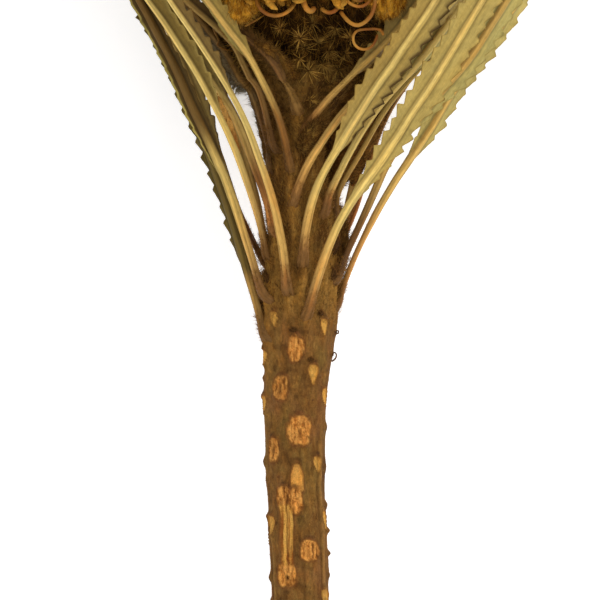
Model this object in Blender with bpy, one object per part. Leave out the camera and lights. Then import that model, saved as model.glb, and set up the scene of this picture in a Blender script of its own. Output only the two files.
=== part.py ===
"""A banksia cone on its cut leafy stem, lying on its side.

One flower spike (the cone) sits on a woody stem. Twenty-six toothed leaves
grow from the upper stem on short stalks and fan out around the cone. The stem
is cut at its lower end. The whole stem lies down: it rests on the rim of the
cut end, on the belly of the cone and on the leaves that are under it.

Two frames are used. In the plant frame u runs across the stem, w along it
towards the cone and v up through it. The plant frame is then tipped about the
X axis, so that the cut end and the cone's belly both touch the ground.
World: +X across, +Y along the stem towards the cone, +Z up, metres, with the
origin on the ground under the middle of the object's box.
"""

import math

import bmesh
import bpy
import numpy as np

# ---------------------------------------------------------------- dimensions
MM = 0.001
GRID = 0.125 / 600          # step of the drawing grid the leaf courses use, m

STEM_CUT = -45 * MM         # w of the cut end
STEM_TOP = 108 * MM         # w of the seat under the cone
STEM_SIDES = 24
# w, radius, sideways offset of the stem's middle, all mm
STEM_FORM = [
    (-45, 6.20, 0.0), (-30, 6.10, 0.1), (-15, 6.00, 0.2), (0, 5.94, 0.1),
    (16, 6.04, -0.4), (25, 6.04, -0.8), (33, 6.30, -0.95), (42, 6.50, -0.9),
    (50, 6.95, -0.45), (57, 7.20, -0.3), (64, 7.20, -0.2), (71, 6.95, 0.1),
    (78, 6.60, 0.1), (84, 6.05, 0.0), (90, 5.20, -0.3), (96, 5.15, -0.2),
    (102, 6.90, 0.3), (108, 10.4, 0.9),
]

CONE_OFFSET = 1.0 * MM      # sideways offset of the cone's own axis
CONE_SIDES = 36
CONE_RINGS = 22
# w and radius of the cone, mm: flat seat, hollow underside, belly, blunt top
CONE_FORM = [
    (108.3, 10.6), (112, 12.6), (118, 15.4), (125, 19.8), (131, 25.0),
    (138, 30.6), (146, 35.4), (156, 39.2), (167, 41.0), (178, 41.0),
    (189, 38.8), (199, 34.6), (207, 28.8), (213, 21.5), (217, 13.0),
    (219, 5.0),
]
CONE_LUMPS = 0.010          # height of the flower rows, share of the radius

GAP = 0.35 * MM             # air kept between neighbouring pieces
LEAF_STATIONS = 17
PETIOLE_HALF = 0.95 * MM    # half width of a leaf stalk
BLADE_HALF = 3.40 * MM      # half width of a full blade
RIB_HALF = 0.85 * MM        # half width of the midrib under the blade
TIP_LEN = 11 * MM           # length over which the blade narrows to its tip

# Leaves that stand clear of the ground. Each course is a list of
# (across, along, height): the first two on the drawing grid, the height in mm
# above the stem's middle. "face" is the azimuth, in degrees from straight up
# towards +X, that the blade's underside looks to; "blade" is how far along
# the leaf its blade begins, in mm.
FREE_LEAVES = {
    "leaf_01": dict(face=-20, blade=27, width=0.62, course=[
        (-38, 308, 5), (-43, 326, 4.4), (-48.5, 344, 3.6), (-56, 368, 2.8),
        (-62, 387, 2.2), (-67, 401, 1.8), (-79, 431, 1.3), (-89, 454, 1),
        (-97, 472, 0.8), (-107, 492, 0.5), (-118, 518, 0.2), (-131, 545, 0),
        (-159, 598, -0.6), (-207, 690, -2), (-246, 790, -4), (-276, 890, -5)]),
    "leaf_02": dict(face=-70, blade=27, width=0.95, course=[
        (-36, 338, -4.5), (-46, 358, -5.5), (-57, 382, -7), (-68, 412, -8.5),
        (-81, 450, -10), (-97, 490, -11.5), (-119, 545, -14), (-146, 600, -16),
        (-186, 690, -20), (-223, 790, -25), (-250, 880, -28)]),
    "leaf_03": dict(face=-48, blade=33, width=1, course=[
        (-33, 345, 3), (-38, 370, 3.5), (-44, 392, 4.5), (-53, 418, 5.5),
        (-62, 445, 6.5), (-73, 470, 7.5), (-86, 497, 9), (-101, 525, 10.5),
        (-118, 552, 12), (-135, 578, 13.5), (-152, 600, 15), (-203, 680, 19),
        (-248, 770, 23), (-283, 870, 26)]),
    "leaf_04": dict(face=-52, blade=46, width=0.95, course=[
        (-13, 312, 8), (-15, 335, 8), (-18, 358, 8.2), (-22, 380, 8.6),
        (-29, 408, 9.2), (-38, 435, 10), (-46, 457, 11), (-55, 480, 12.5),
        (-65, 500, 14), (-76, 520, 16), (-88, 540, 18), (-100, 558, 20),
        (-115, 580, 22.5), (-130, 600, 25), (-178, 680, 33), (-220, 770, 39),
        (-254, 870, 43)]),
    "leaf_05": dict(face=-50, blade=30, width=0.95, course=[
        (-27, 372, 5.5), (-30, 392, 5), (-37.5, 412, 4.6), (-46.5, 435, 4.4),
        (-55.5, 460, 4.2), (-65, 483, 4.2), (-77, 503, 4.6), (-96, 530, 5.4),
        (-116, 562, 6.4), (-140, 600, 7.6), (-188, 680, 10), (-231, 770, 12),
        (-266, 870, 14)]),
    "leaf_06": dict(face=-15, blade=18, width=0.95, course=[
        (-27, 432, 1), (-30.5, 454, 0.8), (-36.5, 474, 0.6), (-42, 494, 0.3),
        (-49.5, 512, 0), (-59, 528, -0.3), (-72, 545, -0.8), (-85, 562, -1.3),
        (-99, 580, -1.9), (-115, 600, -2.5), (-162, 655, -4), (-204, 730, -6),
        (-238, 820, -8)]),
    "leaf_07": dict(face=-30, blade=27, width=0.95, course=[
        (-10, 432, 6), (-14, 456, 6.8), (-20, 480, 8), (-28, 500, 9.4),
        (-38, 520, 11.2), (-49, 540, 13.2), (-60, 556, 15), (-74, 574, 17),
        (-92, 598, 20), (-130, 648, 25), (-166, 710, 29), (-202, 790, 32),
        (-230, 875, 34)]),
    "leaf_08": dict(face=-35, blade=9, width=0.62, course=[
        (-4, 492, 8), (-12, 517, 10.5), (-26, 541, 13.2), (-43, 555, 13),
        (-60, 566, 12.2), (-76, 578, 11.4)]),
    "leaf_09": dict(face=-50, blade=24, width=0.9, course=[
        (-27, 455, 4), (-32, 478, 4.6), (-37, 499, 5.3), (-44, 520, 6.3),
        (-55, 542, 7.4), (-69, 560, 8.7), (-91, 580, 10.3), (-114, 600, 12),
        (-163, 655, 15), (-204, 728, 18), (-240, 820, 20)]),
    "leaf_10": dict(face=-105, blade=42, width=0.95, course=[
        (-25, 388, -5), (-33, 410, -6), (-43, 434, -7), (-53, 460, -8.5),
        (-64, 486, -10.5), (-79, 513, -13), (-104, 548, -16.5),
        (-130, 590, -20), (-172, 670, -26), (-205, 760, -31),
        (-228, 850, -34)]),
    "leaf_11": dict(face=24, blade=25, width=1, course=[
        (3, 340, 8), (4, 362, 7.9), (8, 385, 8), (13, 402, 8.4),
        (19.5, 420, 8.8), (28, 436, 9.6), (43, 460, 11.2), (56, 484, 13),
        (71, 505, 15.2), (86, 525, 17.4), (101, 547, 20), (116, 569, 22.4),
        (137, 600, 25.5), (182, 680, 32), (224, 770, 37), (257, 870, 40)]),
    "leaf_12": dict(face=28, blade=36, width=0.95, course=[
        (-7, 397, 6.8), (-2, 414, 6.7), (4, 427, 6.9), (10, 440, 7.2),
        (20, 455, 7.8), (31, 471, 8.6), (45, 489, 9.6), (62, 508, 10.9),
        (83, 531, 12.6), (108, 555, 14.4), (131, 576, 16.2), (155, 600, 18.2),
        (205, 665, 22), (248, 745, 26), (284, 835, 29)]),
    "leaf_13": dict(face=38, blade=18, width=0.95, course=[
        (2, 468, 6.2), (14, 484, 7.2), (30, 503, 8.8), (45, 518, 10.2),
        (59, 532, 11.4), (75, 546, 12.4), (91, 562, 13), (105, 580, 13),
        (119, 600, 13), (165, 668, 15), (206, 745, 17), (240, 835, 18)]),
    "leaf_14": dict(face=46, blade=34, width=0.95, course=[
        (22, 388, 4.3), (27, 402, 4.5), (35, 420, 4.8), (46, 440, 5.2),
        (57, 461, 5.9), (69, 480, 6.8), (84.5, 500, 7.8), (102, 520, 8.9),
        (120, 539, 10), (136, 560, 11.2), (150, 580, 12.2), (164, 600, 13.2),
        (214, 672, 16), (258, 755, 19), (294, 850, 21)]),
    "leaf_15": dict(face=12, blade=27, width=1.1, course=[
        (8, 288, 8.2), (12, 305, 8.2), (18, 325, 8.4), (25, 345, 8.8),
        (33, 365, 9.4), (41, 381, 10.2), (50.5, 397, 11.2), (62.5, 414, 12.4),
        (77, 434, 13.8), (90, 453, 15.2), (102.5, 472, 16.8), (115, 491, 18.4),
        (128, 511, 20.2), (141, 531, 22.2), (155, 554, 24), (168, 576, 26),
        (182, 600, 28), (230, 680, 34), (276, 770, 39), (318, 870, 43)]),
    "leaf_16": dict(face=20, blade=36, width=1, course=[
        (37, 322, 1.6), (42, 338, 1.6), (51, 358, 1.8), (62, 381, 2.2),
        (74, 407, 3), (83, 430, 4), (102, 461, 5.8), (127, 492, 7.6),
        (148, 516, 9), (168, 540, 10.6), (186, 567, 12), (204, 597, 13.6),
        (252, 680, 18), (295, 770, 22), (330, 865, 25)]),
    "leaf_17": dict(face=38, blade=36, width=1, course=[
        (37, 295, -1.5), (41, 310, -1.5), (46, 325, -1.8), (53, 342, -2.2),
        (66, 368, -2.8), (80.5, 395, -3.2), (96, 421, -3.4), (110, 442, -3.4),
        (123, 461, -3.2), (135, 479, -2.8), (147, 499, -2.2), (161, 520, -1.6),
        (176, 540, -1), (191, 560, -0.4), (205, 580, 0.2), (218, 600, 1),
        (266, 680, 3), (310, 770, 5), (348, 870, 7)]),
    "leaf_18": dict(face=100, blade=36, width=0.95, course=[
        (36, 350, -5), (43, 363, -5.8), (51, 380, -6.8), (57.5, 396, -7.8),
        (62, 412, -8.4), (66.5, 429, -9), (72.5, 450, -9.6),
        (79.5, 470, -10.2), (89, 490, -10.8), (101, 511, -11.4),
        (120, 538, -12), (149, 580, -13.4), (165, 600, -14.2),
        (216, 685, -19), (258, 780, -24), (288, 860, -27)]),
    "leaf_19": dict(face=62, blade=38, width=0.95, course=[
        (34, 378, 0.5), (32.5, 396, 0.5), (38, 412, 0.5), (49, 429, 0.5),
        (61, 448, 0.6), (72, 470, 0.9), (84, 490, 1.3), (99, 509, 1.8),
        (116, 528, 2.2), (137, 555, 3), (158, 578, 3.6), (174, 600, 4.2),
        (224, 666, 7), (266, 760, 9), (299, 855, 11)]),
    "leaf_26": dict(face=-30, blade=17, width=0.6, course=[
        (-36, 265, 3.9), (-39.5, 282, 3.3), (-44, 300, 2.4), (-50, 320, 1.4),
        (-56, 340, 0.5), (-61.5, 360, -0.3), (-67.5, 380, -1),
        (-74, 400, -1.5), (-80, 418, -1.9), (-88, 440, -2.3), (-97, 462, -2.6),
        (-106, 483, -2.9), (-113, 500, -3.2), (-130, 540, -4), (-160, 600, -5),
        (-205, 690, -8), (-244, 790, -11), (-272, 880, -13)]),
}

# Leaves pressed under the stem: azimuth and w where the stalk leaves the
# stem, then (across, along, clear height under the leaf), mm.
GROUND_LEAVES = {
    "leaf_20": dict(at=(-143, 58), blade=52, width=1.0, course=[
        (-8.0, 78, 10.5), (-12.0, 94, 5.5), (-18.0, 108, 1.6),
        (-26, 121, 0), (-37, 138, 0), (-48, 156, 0), (-58, 175, 0)]),
    "leaf_21": dict(at=(-162, 65), blade=50, width=0.95, course=[
        (-4.4, 84, 10.0), (-6.6, 100, 4.6), (-11.5, 114, 0.9),
        (-18, 127, 0), (-25, 143, 0), (-33, 161, 0), (-40, 181, 0)]),
    "leaf_22": dict(at=(-176, 76), blade=46, width=0.95, course=[
        (-1.8, 92, 10.0), (-3.4, 106, 4.0), (-7.5, 119, 0.5),
        (-11, 131, 0), (-15, 147, 0), (-19, 165, 0), (-21, 186, 0)]),
    "leaf_23": dict(at=(170, 62), blade=50, width=1.0, course=[
        (2.4, 82, 10.0), (4.0, 98, 4.2), (7.6, 111, 0.7),
        (12, 125, 0), (17, 142, 0), (21, 160, 0), (24, 180, 0)]),
    "leaf_24": dict(at=(155, 71), blade=48, width=0.95, course=[
        (5.4, 89, 10.0), (8.6, 104, 4.4), (15.0, 118, 0.8),
        (23, 131, 0), (31, 147, 0), (40, 165, 0), (47, 184, 0)]),
    "leaf_25": dict(at=(141, 57), blade=53, width=1.0, course=[
        (9.0, 77, 11.0), (13.0, 94, 5.6), (20.5, 109, 1.5),
        (31, 124, 0), (43, 141, 0), (55, 158, 0), (65, 175, 0)]),
}

COLOURS = {
    "stem": ((0.18, 0.085, 0.022), 0.85),
    "flower_spike": ((0.27, 0.11, 0.018), 0.9),
    "leaf": ((0.50, 0.40, 0.13), 0.6),
    "ground_leaf": ((0.28, 0.19, 0.055), 0.65),
}


# ------------------------------------------------------------------- curves
def smooth_table(xs, ys, x):
    """Cubic through the table's points, with slopes from its neighbours."""
    xs = np.asarray(xs, float)
    ys = np.asarray(ys, float)
    slope = np.gradient(ys, xs)
    x = np.clip(np.asarray(x, float), xs[0], xs[-1])
    i = np.clip(np.searchsorted(xs, x) - 1, 0, len(xs) - 2)
    h = xs[i + 1] - xs[i]
    t = (x - xs[i]) / h
    return ((1 + 2 * t) * (1 - t) ** 2 * ys[i] + t * (1 - t) ** 2 * h * slope[i]
            + t * t * (3 - 2 * t) * ys[i + 1]
            + t * t * (t - 1) * h * slope[i + 1])


def stem_radius(w):
    t = np.array(STEM_FORM) * MM
    return smooth_table(t[:, 0], t[:, 1], w)


def stem_offset(w):
    t = np.array(STEM_FORM) * MM
    return smooth_table(t[:, 0], t[:, 2], w)


def cone_radius(w):
    t = np.array(CONE_FORM) * MM
    return np.where((w < t[0, 0]) | (w > t[-1, 0]), 0.0,
                    smooth_table(t[:, 0], t[:, 1], w))


def body_radius(w):
    """Radius of whatever stands in a leaf's way at w: stem or cone."""
    return np.where(w < STEM_TOP, stem_radius(w), cone_radius(w))


def body_offset(w):
    return np.where(w < STEM_TOP, stem_offset(w), CONE_OFFSET)


def find_tilt():
    """Tilt at which the cut end and the cone's belly both touch z = 0."""
    end = stem_radius(STEM_CUT) * math.cos(math.pi / STEM_SIDES)
    w = np.linspace(CONE_FORM[0][0] * MM, CONE_FORM[-1][0] * MM, 400)
    r = cone_radius(w)
    lo, hi = 0.0, 0.5
    for _ in range(60):
        a = (lo + hi) / 2
        lift = end * math.cos(a) - STEM_CUT * math.sin(a)
        low = np.min(lift + w * math.sin(a) - r * math.cos(a))
        if low < 0:
            lo = a
        else:
            hi = a
    return hi, end * math.cos(hi) - STEM_CUT * math.sin(hi)


TILT, LIFT = find_tilt()
# middle of the object's box, so that the origin is under it
CENTRE_X = 6.8 * MM
CENTRE_Y = 85.7 * MM


def to_world(p):
    p = np.asarray(p, float)
    c, s = math.cos(TILT), math.sin(TILT)
    u, w, v = p[..., 0], p[..., 1], p[..., 2]
    return np.stack([u - CENTRE_X, w * c - v * s - CENTRE_Y,
                     w * s + v * c + LIFT], axis=-1)


def ground_height(w, clear):
    """v, in the plant frame, of a point `clear` above the ground at w."""
    return (clear - LIFT - w * math.sin(TILT)) / math.cos(TILT)


def course_curve(points, step=0.0005):
    """Smooth curve through a course, resampled at an even step."""
    p = np.asarray(points, float)
    ext = np.vstack([2 * p[0] - p[1], p, 2 * p[-1] - p[-2]])
    out = []
    for i in range(1, len(ext) - 2):
        a, b, c, d = ext[i - 1], ext[i], ext[i + 1], ext[i + 2]
        for t in np.linspace(0, 1, 16, endpoint=False):
            out.append(0.5 * (2 * b + (c - a) * t
                              + (2 * a - 5 * b + 4 * c - d) * t * t
                              + (3 * b - a - 3 * c + d) * t ** 3))
    out.append(p[-1])
    q = resample(np.array(out), step)
    for _ in range(60):
        q[1:-1] += 0.5 * ((q[:-2] + q[2:]) / 2 - q[1:-1])
    return q


def resample(q, step=None, count=None):
    seg = np.linalg.norm(np.diff(q, axis=0), axis=1)
    s = np.concatenate([[0], np.cumsum(seg)])
    n = count if count else int(s[-1] / step) + 1
    t = np.linspace(0, s[-1], n)
    return np.stack([np.interp(t, s, q[:, k]) for k in range(3)], axis=1)


def keep_clear(q, thick):
    """Push a course out of the stem and the cone."""
    w = q[:, 1]
    off = body_offset(w)
    need = body_radius(w) + GAP + thick(w)
    du, dv = q[:, 0] - off, q[:, 2]
    r = np.hypot(du, dv)
    k = np.maximum(need / np.maximum(r, 1e-6), 1.0)
    q = q.copy()
    q[:, 0] = off + du * k
    q[:, 2] = dv * k
    return q


def leaf_course(name):
    """Middle line of a leaf in the plant frame and its blade facing."""
    ground = name in GROUND_LEAVES
    spec = GROUND_LEAVES[name] if ground else FREE_LEAVES[name]
    if ground:
        az, w0 = math.radians(spec["at"][0]), spec["at"][1] * MM
        r0 = float(stem_radius(w0)) + GAP + 0.6 * MM
        pts = [(float(stem_offset(w0)) + r0 * math.sin(az), w0,
                r0 * math.cos(az))]
        r1 = r0 + 1.6 * MM
        pts.append((float(stem_offset(w0)) + r1 * math.sin(az),
                    w0 + 8 * MM, r1 * math.cos(az)))
        for u, w, clear in spec["course"]:
            pts.append((u * MM, w * MM,
                        ground_height(w * MM, (clear + 0.45) * MM)))
    else:
        pts = [(a * GRID, b * GRID, v * MM) for a, b, v in spec["course"]]
    q = course_curve(pts)

    def thick(w):
        return np.where(w < STEM_TOP, 0.60 * MM, 2.2 * MM)

    for _ in range(3):
        q = keep_clear(q, thick)
        for _ in range(6):
            q[1:-1] += 0.5 * ((q[:-2] + q[2:]) / 2 - q[1:-1])
    return keep_clear(q, thick), spec, ground


def leaf_frames(q, spec, ground):
    """Tangent, across and underside directions along a leaf."""
    tan = np.gradient(q, axis=0)
    tan /= np.linalg.norm(tan, axis=1)[:, None]
    s = np.concatenate([[0], np.cumsum(
        np.linalg.norm(np.diff(q, axis=0), axis=1))])
    radial = np.stack([q[:, 0] - body_offset(q[:, 1]), 0 * s, q[:, 2]], 1)
    radial /= np.linalg.norm(radial, axis=1)[:, None]
    if ground:
        face = np.array([0, -math.sin(TILT), -math.cos(TILT)])
    else:
        a = math.radians(spec["face"])
        face = np.array([math.sin(a), 0, math.cos(a)])
    start = spec["blade"] * MM
    k = np.clip(s / start, 0, 1)
    k = (k * k * (3 - 2 * k))[:, None]
    nrm = radial * (1 - k) + face * k
    across = np.cross(tan, nrm)
    across /= np.linalg.norm(across, axis=1)[:, None]
    under = np.cross(across, tan)
    return s, tan, across, under


def blade_half(s, length, spec):
    """Half width of the leaf at distance s from its foot."""
    start = spec["blade"] * MM
    full = BLADE_HALF * spec["width"]
    grow = np.clip((s - start) / (26 * MM), 0, 1)
    grow = grow ** 0.75
    tip = np.clip((length - s) / TIP_LEN, 0, 1)
    wide = PETIOLE_HALF + (full - PETIOLE_HALF) * grow
    return np.maximum(wide * np.sqrt(1 - (1 - tip) ** 2), 0.25 * MM)


# ------------------------------------------------------------------- solids
def add_object(name, verts, faces, colour, smooth=True):
    mesh = bpy.data.meshes.new(name)
    mesh.from_pydata([tuple(v) for v in verts], [], faces)
    mesh.validate()
    bm = bmesh.new()
    bm.from_mesh(mesh)
    bmesh.ops.triangulate(bm, faces=bm.faces[:])
    bmesh.ops.recalc_face_normals(bm, faces=bm.faces[:])
    bm.to_mesh(mesh)
    bm.free()
    if smooth:
        mesh.shade_smooth()
        mesh.set_sharp_from_angle(angle=math.radians(50))
    ob = bpy.data.objects.new(name, mesh)
    bpy.context.collection.objects.link(ob)
    rgb, rough = COLOURS[colour]
    mat = bpy.data.materials.new(name)
    mat.use_nodes = True
    shader = mat.node_tree.nodes["Principled BSDF"]
    shader.inputs["Base Color"].default_value = (*rgb, 1)
    shader.inputs["Roughness"].default_value = rough
    shader.inputs["Metallic"].default_value = 0
    mesh.materials.append(mat)
    return ob


def loft(rings):
    """Closed solid through rings of equal point counts."""
    n = len(rings[0])
    verts = np.concatenate(rings)
    faces = []
    for i in range(len(rings) - 1):
        for j in range(n):
            k = (j + 1) % n
            faces.append((i * n + j, i * n + k, (i + 1) * n + k,
                          (i + 1) * n + j))
    faces.append(tuple(range(n - 1, -1, -1)))
    last = (len(rings) - 1) * n
    faces.append(tuple(range(last, last + n)))
    return verts, faces


def make_stem():
    ws = np.concatenate([np.linspace(STEM_CUT, 30 * MM, 10),
                         np.linspace(38 * MM, STEM_TOP, 15)])
    rings = []
    for w in ws:
        r, off = float(stem_radius(w)), float(stem_offset(w))
        # a facet, not a corner, is lowest, so that the cut end sits on it
        ang = [math.pi * (2 * j + 1) / STEM_SIDES for j in range(STEM_SIDES)]
        rings.append(np.array([
            (off + r * math.sin(a), w, -r * math.cos(a)) for a in ang]))
    verts, faces = loft([to_world(r) for r in rings])
    verts[:, 2] = np.maximum(verts[:, 2], 0)
    add_object("stem", verts, faces, "stem")


def make_cone():
    lo, hi = CONE_FORM[0][0] * MM, CONE_FORM[-1][0] * MM
    t = np.linspace(0, 1, CONE_RINGS)
    ws = lo + (hi - lo) * (0.5 - 0.5 * np.cos(math.pi * t)) ** 0.92
    rings = []
    for i, w in enumerate(ws):
        r = float(cone_radius(min(max(w, lo), hi)))
        ring = []
        for j in range(CONE_SIDES):
            a = 2 * math.pi * j / CONE_SIDES
            lump = 1 + CONE_LUMPS * math.cos(9 * a + 1.3 * i) * (0 < i)
            ring.append((CONE_OFFSET + r * lump * math.sin(a), w,
                         r * lump * math.cos(a)))
        rings.append(np.array(ring))
    verts, faces = loft([to_world(r) for r in rings])
    verts[:, 2] = np.maximum(verts[:, 2], 0)
    add_object("flower_spike", verts, faces, "flower_spike")


def make_leaf(name):
    q, spec, ground = leaf_course(name)
    length = np.linalg.norm(np.diff(q, axis=0), axis=1).sum()
    q = resample(q, count=LEAF_STATIONS)
    s, tan, across, under = leaf_frames(q, spec, ground)
    half = blade_half(s, length, spec)
    start = spec["blade"] * MM
    flat = np.clip((s - 0.6 * start) / (0.7 * start), 0, 1)
    rings = []
    for i in range(len(q)):
        tip = min(1.0, max(0.35, (length - s[i]) / TIP_LEN))
        rib = min(RIB_HALF, 0.62 * half[i])
        down = (0.60 - 0.15 * flat[i]) * MM * (tip if not ground else 1)
        up = (0.60 - 0.35 * flat[i]) * MM * tip
        c, a, n = q[i], across[i], under[i]
        rings.append(np.array([
            c - a * half[i], c - a * rib + n * down, c + a * rib + n * down,
            c + a * half[i], c + a * rib - n * up, c - a * rib - n * up]))
    verts, faces = loft([to_world(r) for r in rings])
    if ground:
        verts[:, 2] = np.where(verts[:, 2] < 0.10 * MM, 0, verts[:, 2])
    verts[:, 2] = np.maximum(verts[:, 2], 0)
    add_object(name, verts, faces, "ground_leaf" if ground else "leaf")


def main():
    for ob in list(bpy.data.objects):
        bpy.data.objects.remove(ob, do_unlink=True)
    make_stem()
    make_cone()
    for name in [*FREE_LEAVES, *GROUND_LEAVES]:
        make_leaf(name)


main()
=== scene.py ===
import math

import bpy
import numpy as np
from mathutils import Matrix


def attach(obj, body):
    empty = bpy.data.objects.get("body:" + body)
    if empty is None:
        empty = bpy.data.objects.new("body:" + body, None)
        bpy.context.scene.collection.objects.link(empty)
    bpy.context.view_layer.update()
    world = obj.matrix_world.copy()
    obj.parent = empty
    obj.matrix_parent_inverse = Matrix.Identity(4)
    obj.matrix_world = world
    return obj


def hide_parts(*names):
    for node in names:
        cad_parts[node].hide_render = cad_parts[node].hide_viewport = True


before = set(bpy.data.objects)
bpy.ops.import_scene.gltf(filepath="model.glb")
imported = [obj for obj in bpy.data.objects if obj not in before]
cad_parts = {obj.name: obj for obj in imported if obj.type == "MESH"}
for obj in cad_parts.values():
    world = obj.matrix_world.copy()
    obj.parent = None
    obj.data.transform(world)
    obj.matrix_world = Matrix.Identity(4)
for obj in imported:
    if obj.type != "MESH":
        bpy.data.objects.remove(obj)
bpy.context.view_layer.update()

# =====================================================================
# The design's own numbers, the same as in the CAD source
# =====================================================================
MM = 0.001
GRID = 0.125 / 600
STEM_CUT = -45 * MM
STEM_TOP = 108 * MM
STEM_SIDES = 24
STEM_FORM = [
    (-45, 6.20, 0.0), (-30, 6.10, 0.1), (-15, 6.00, 0.2), (0, 5.94, 0.1),
    (16, 6.04, -0.4), (25, 6.04, -0.8), (33, 6.30, -0.95), (42, 6.50, -0.9),
    (50, 6.95, -0.45), (57, 7.20, -0.3), (64, 7.20, -0.2), (71, 6.95, 0.1),
    (78, 6.60, 0.1), (84, 6.05, 0.0), (90, 5.20, -0.3), (96, 5.15, -0.2),
    (102, 6.90, 0.3), (108, 10.4, 0.9),
]
CONE_OFFSET = 1.0 * MM
CONE_FORM = [
    (108.3, 10.6), (112, 12.6), (118, 15.4), (125, 19.8), (131, 25.0),
    (138, 30.6), (146, 35.4), (156, 39.2), (167, 41.0), (178, 41.0),
    (189, 38.8), (199, 34.6), (207, 28.8), (213, 21.5), (217, 13.0),
    (219, 5.0),
]
GAP = 0.35 * MM
PETIOLE_HALF = 0.95 * MM
BLADE_HALF = 3.40 * MM
TIP_LEN = 11 * MM
CENTRE_X = 6.8 * MM
CENTRE_Y = 85.7 * MM

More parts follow.
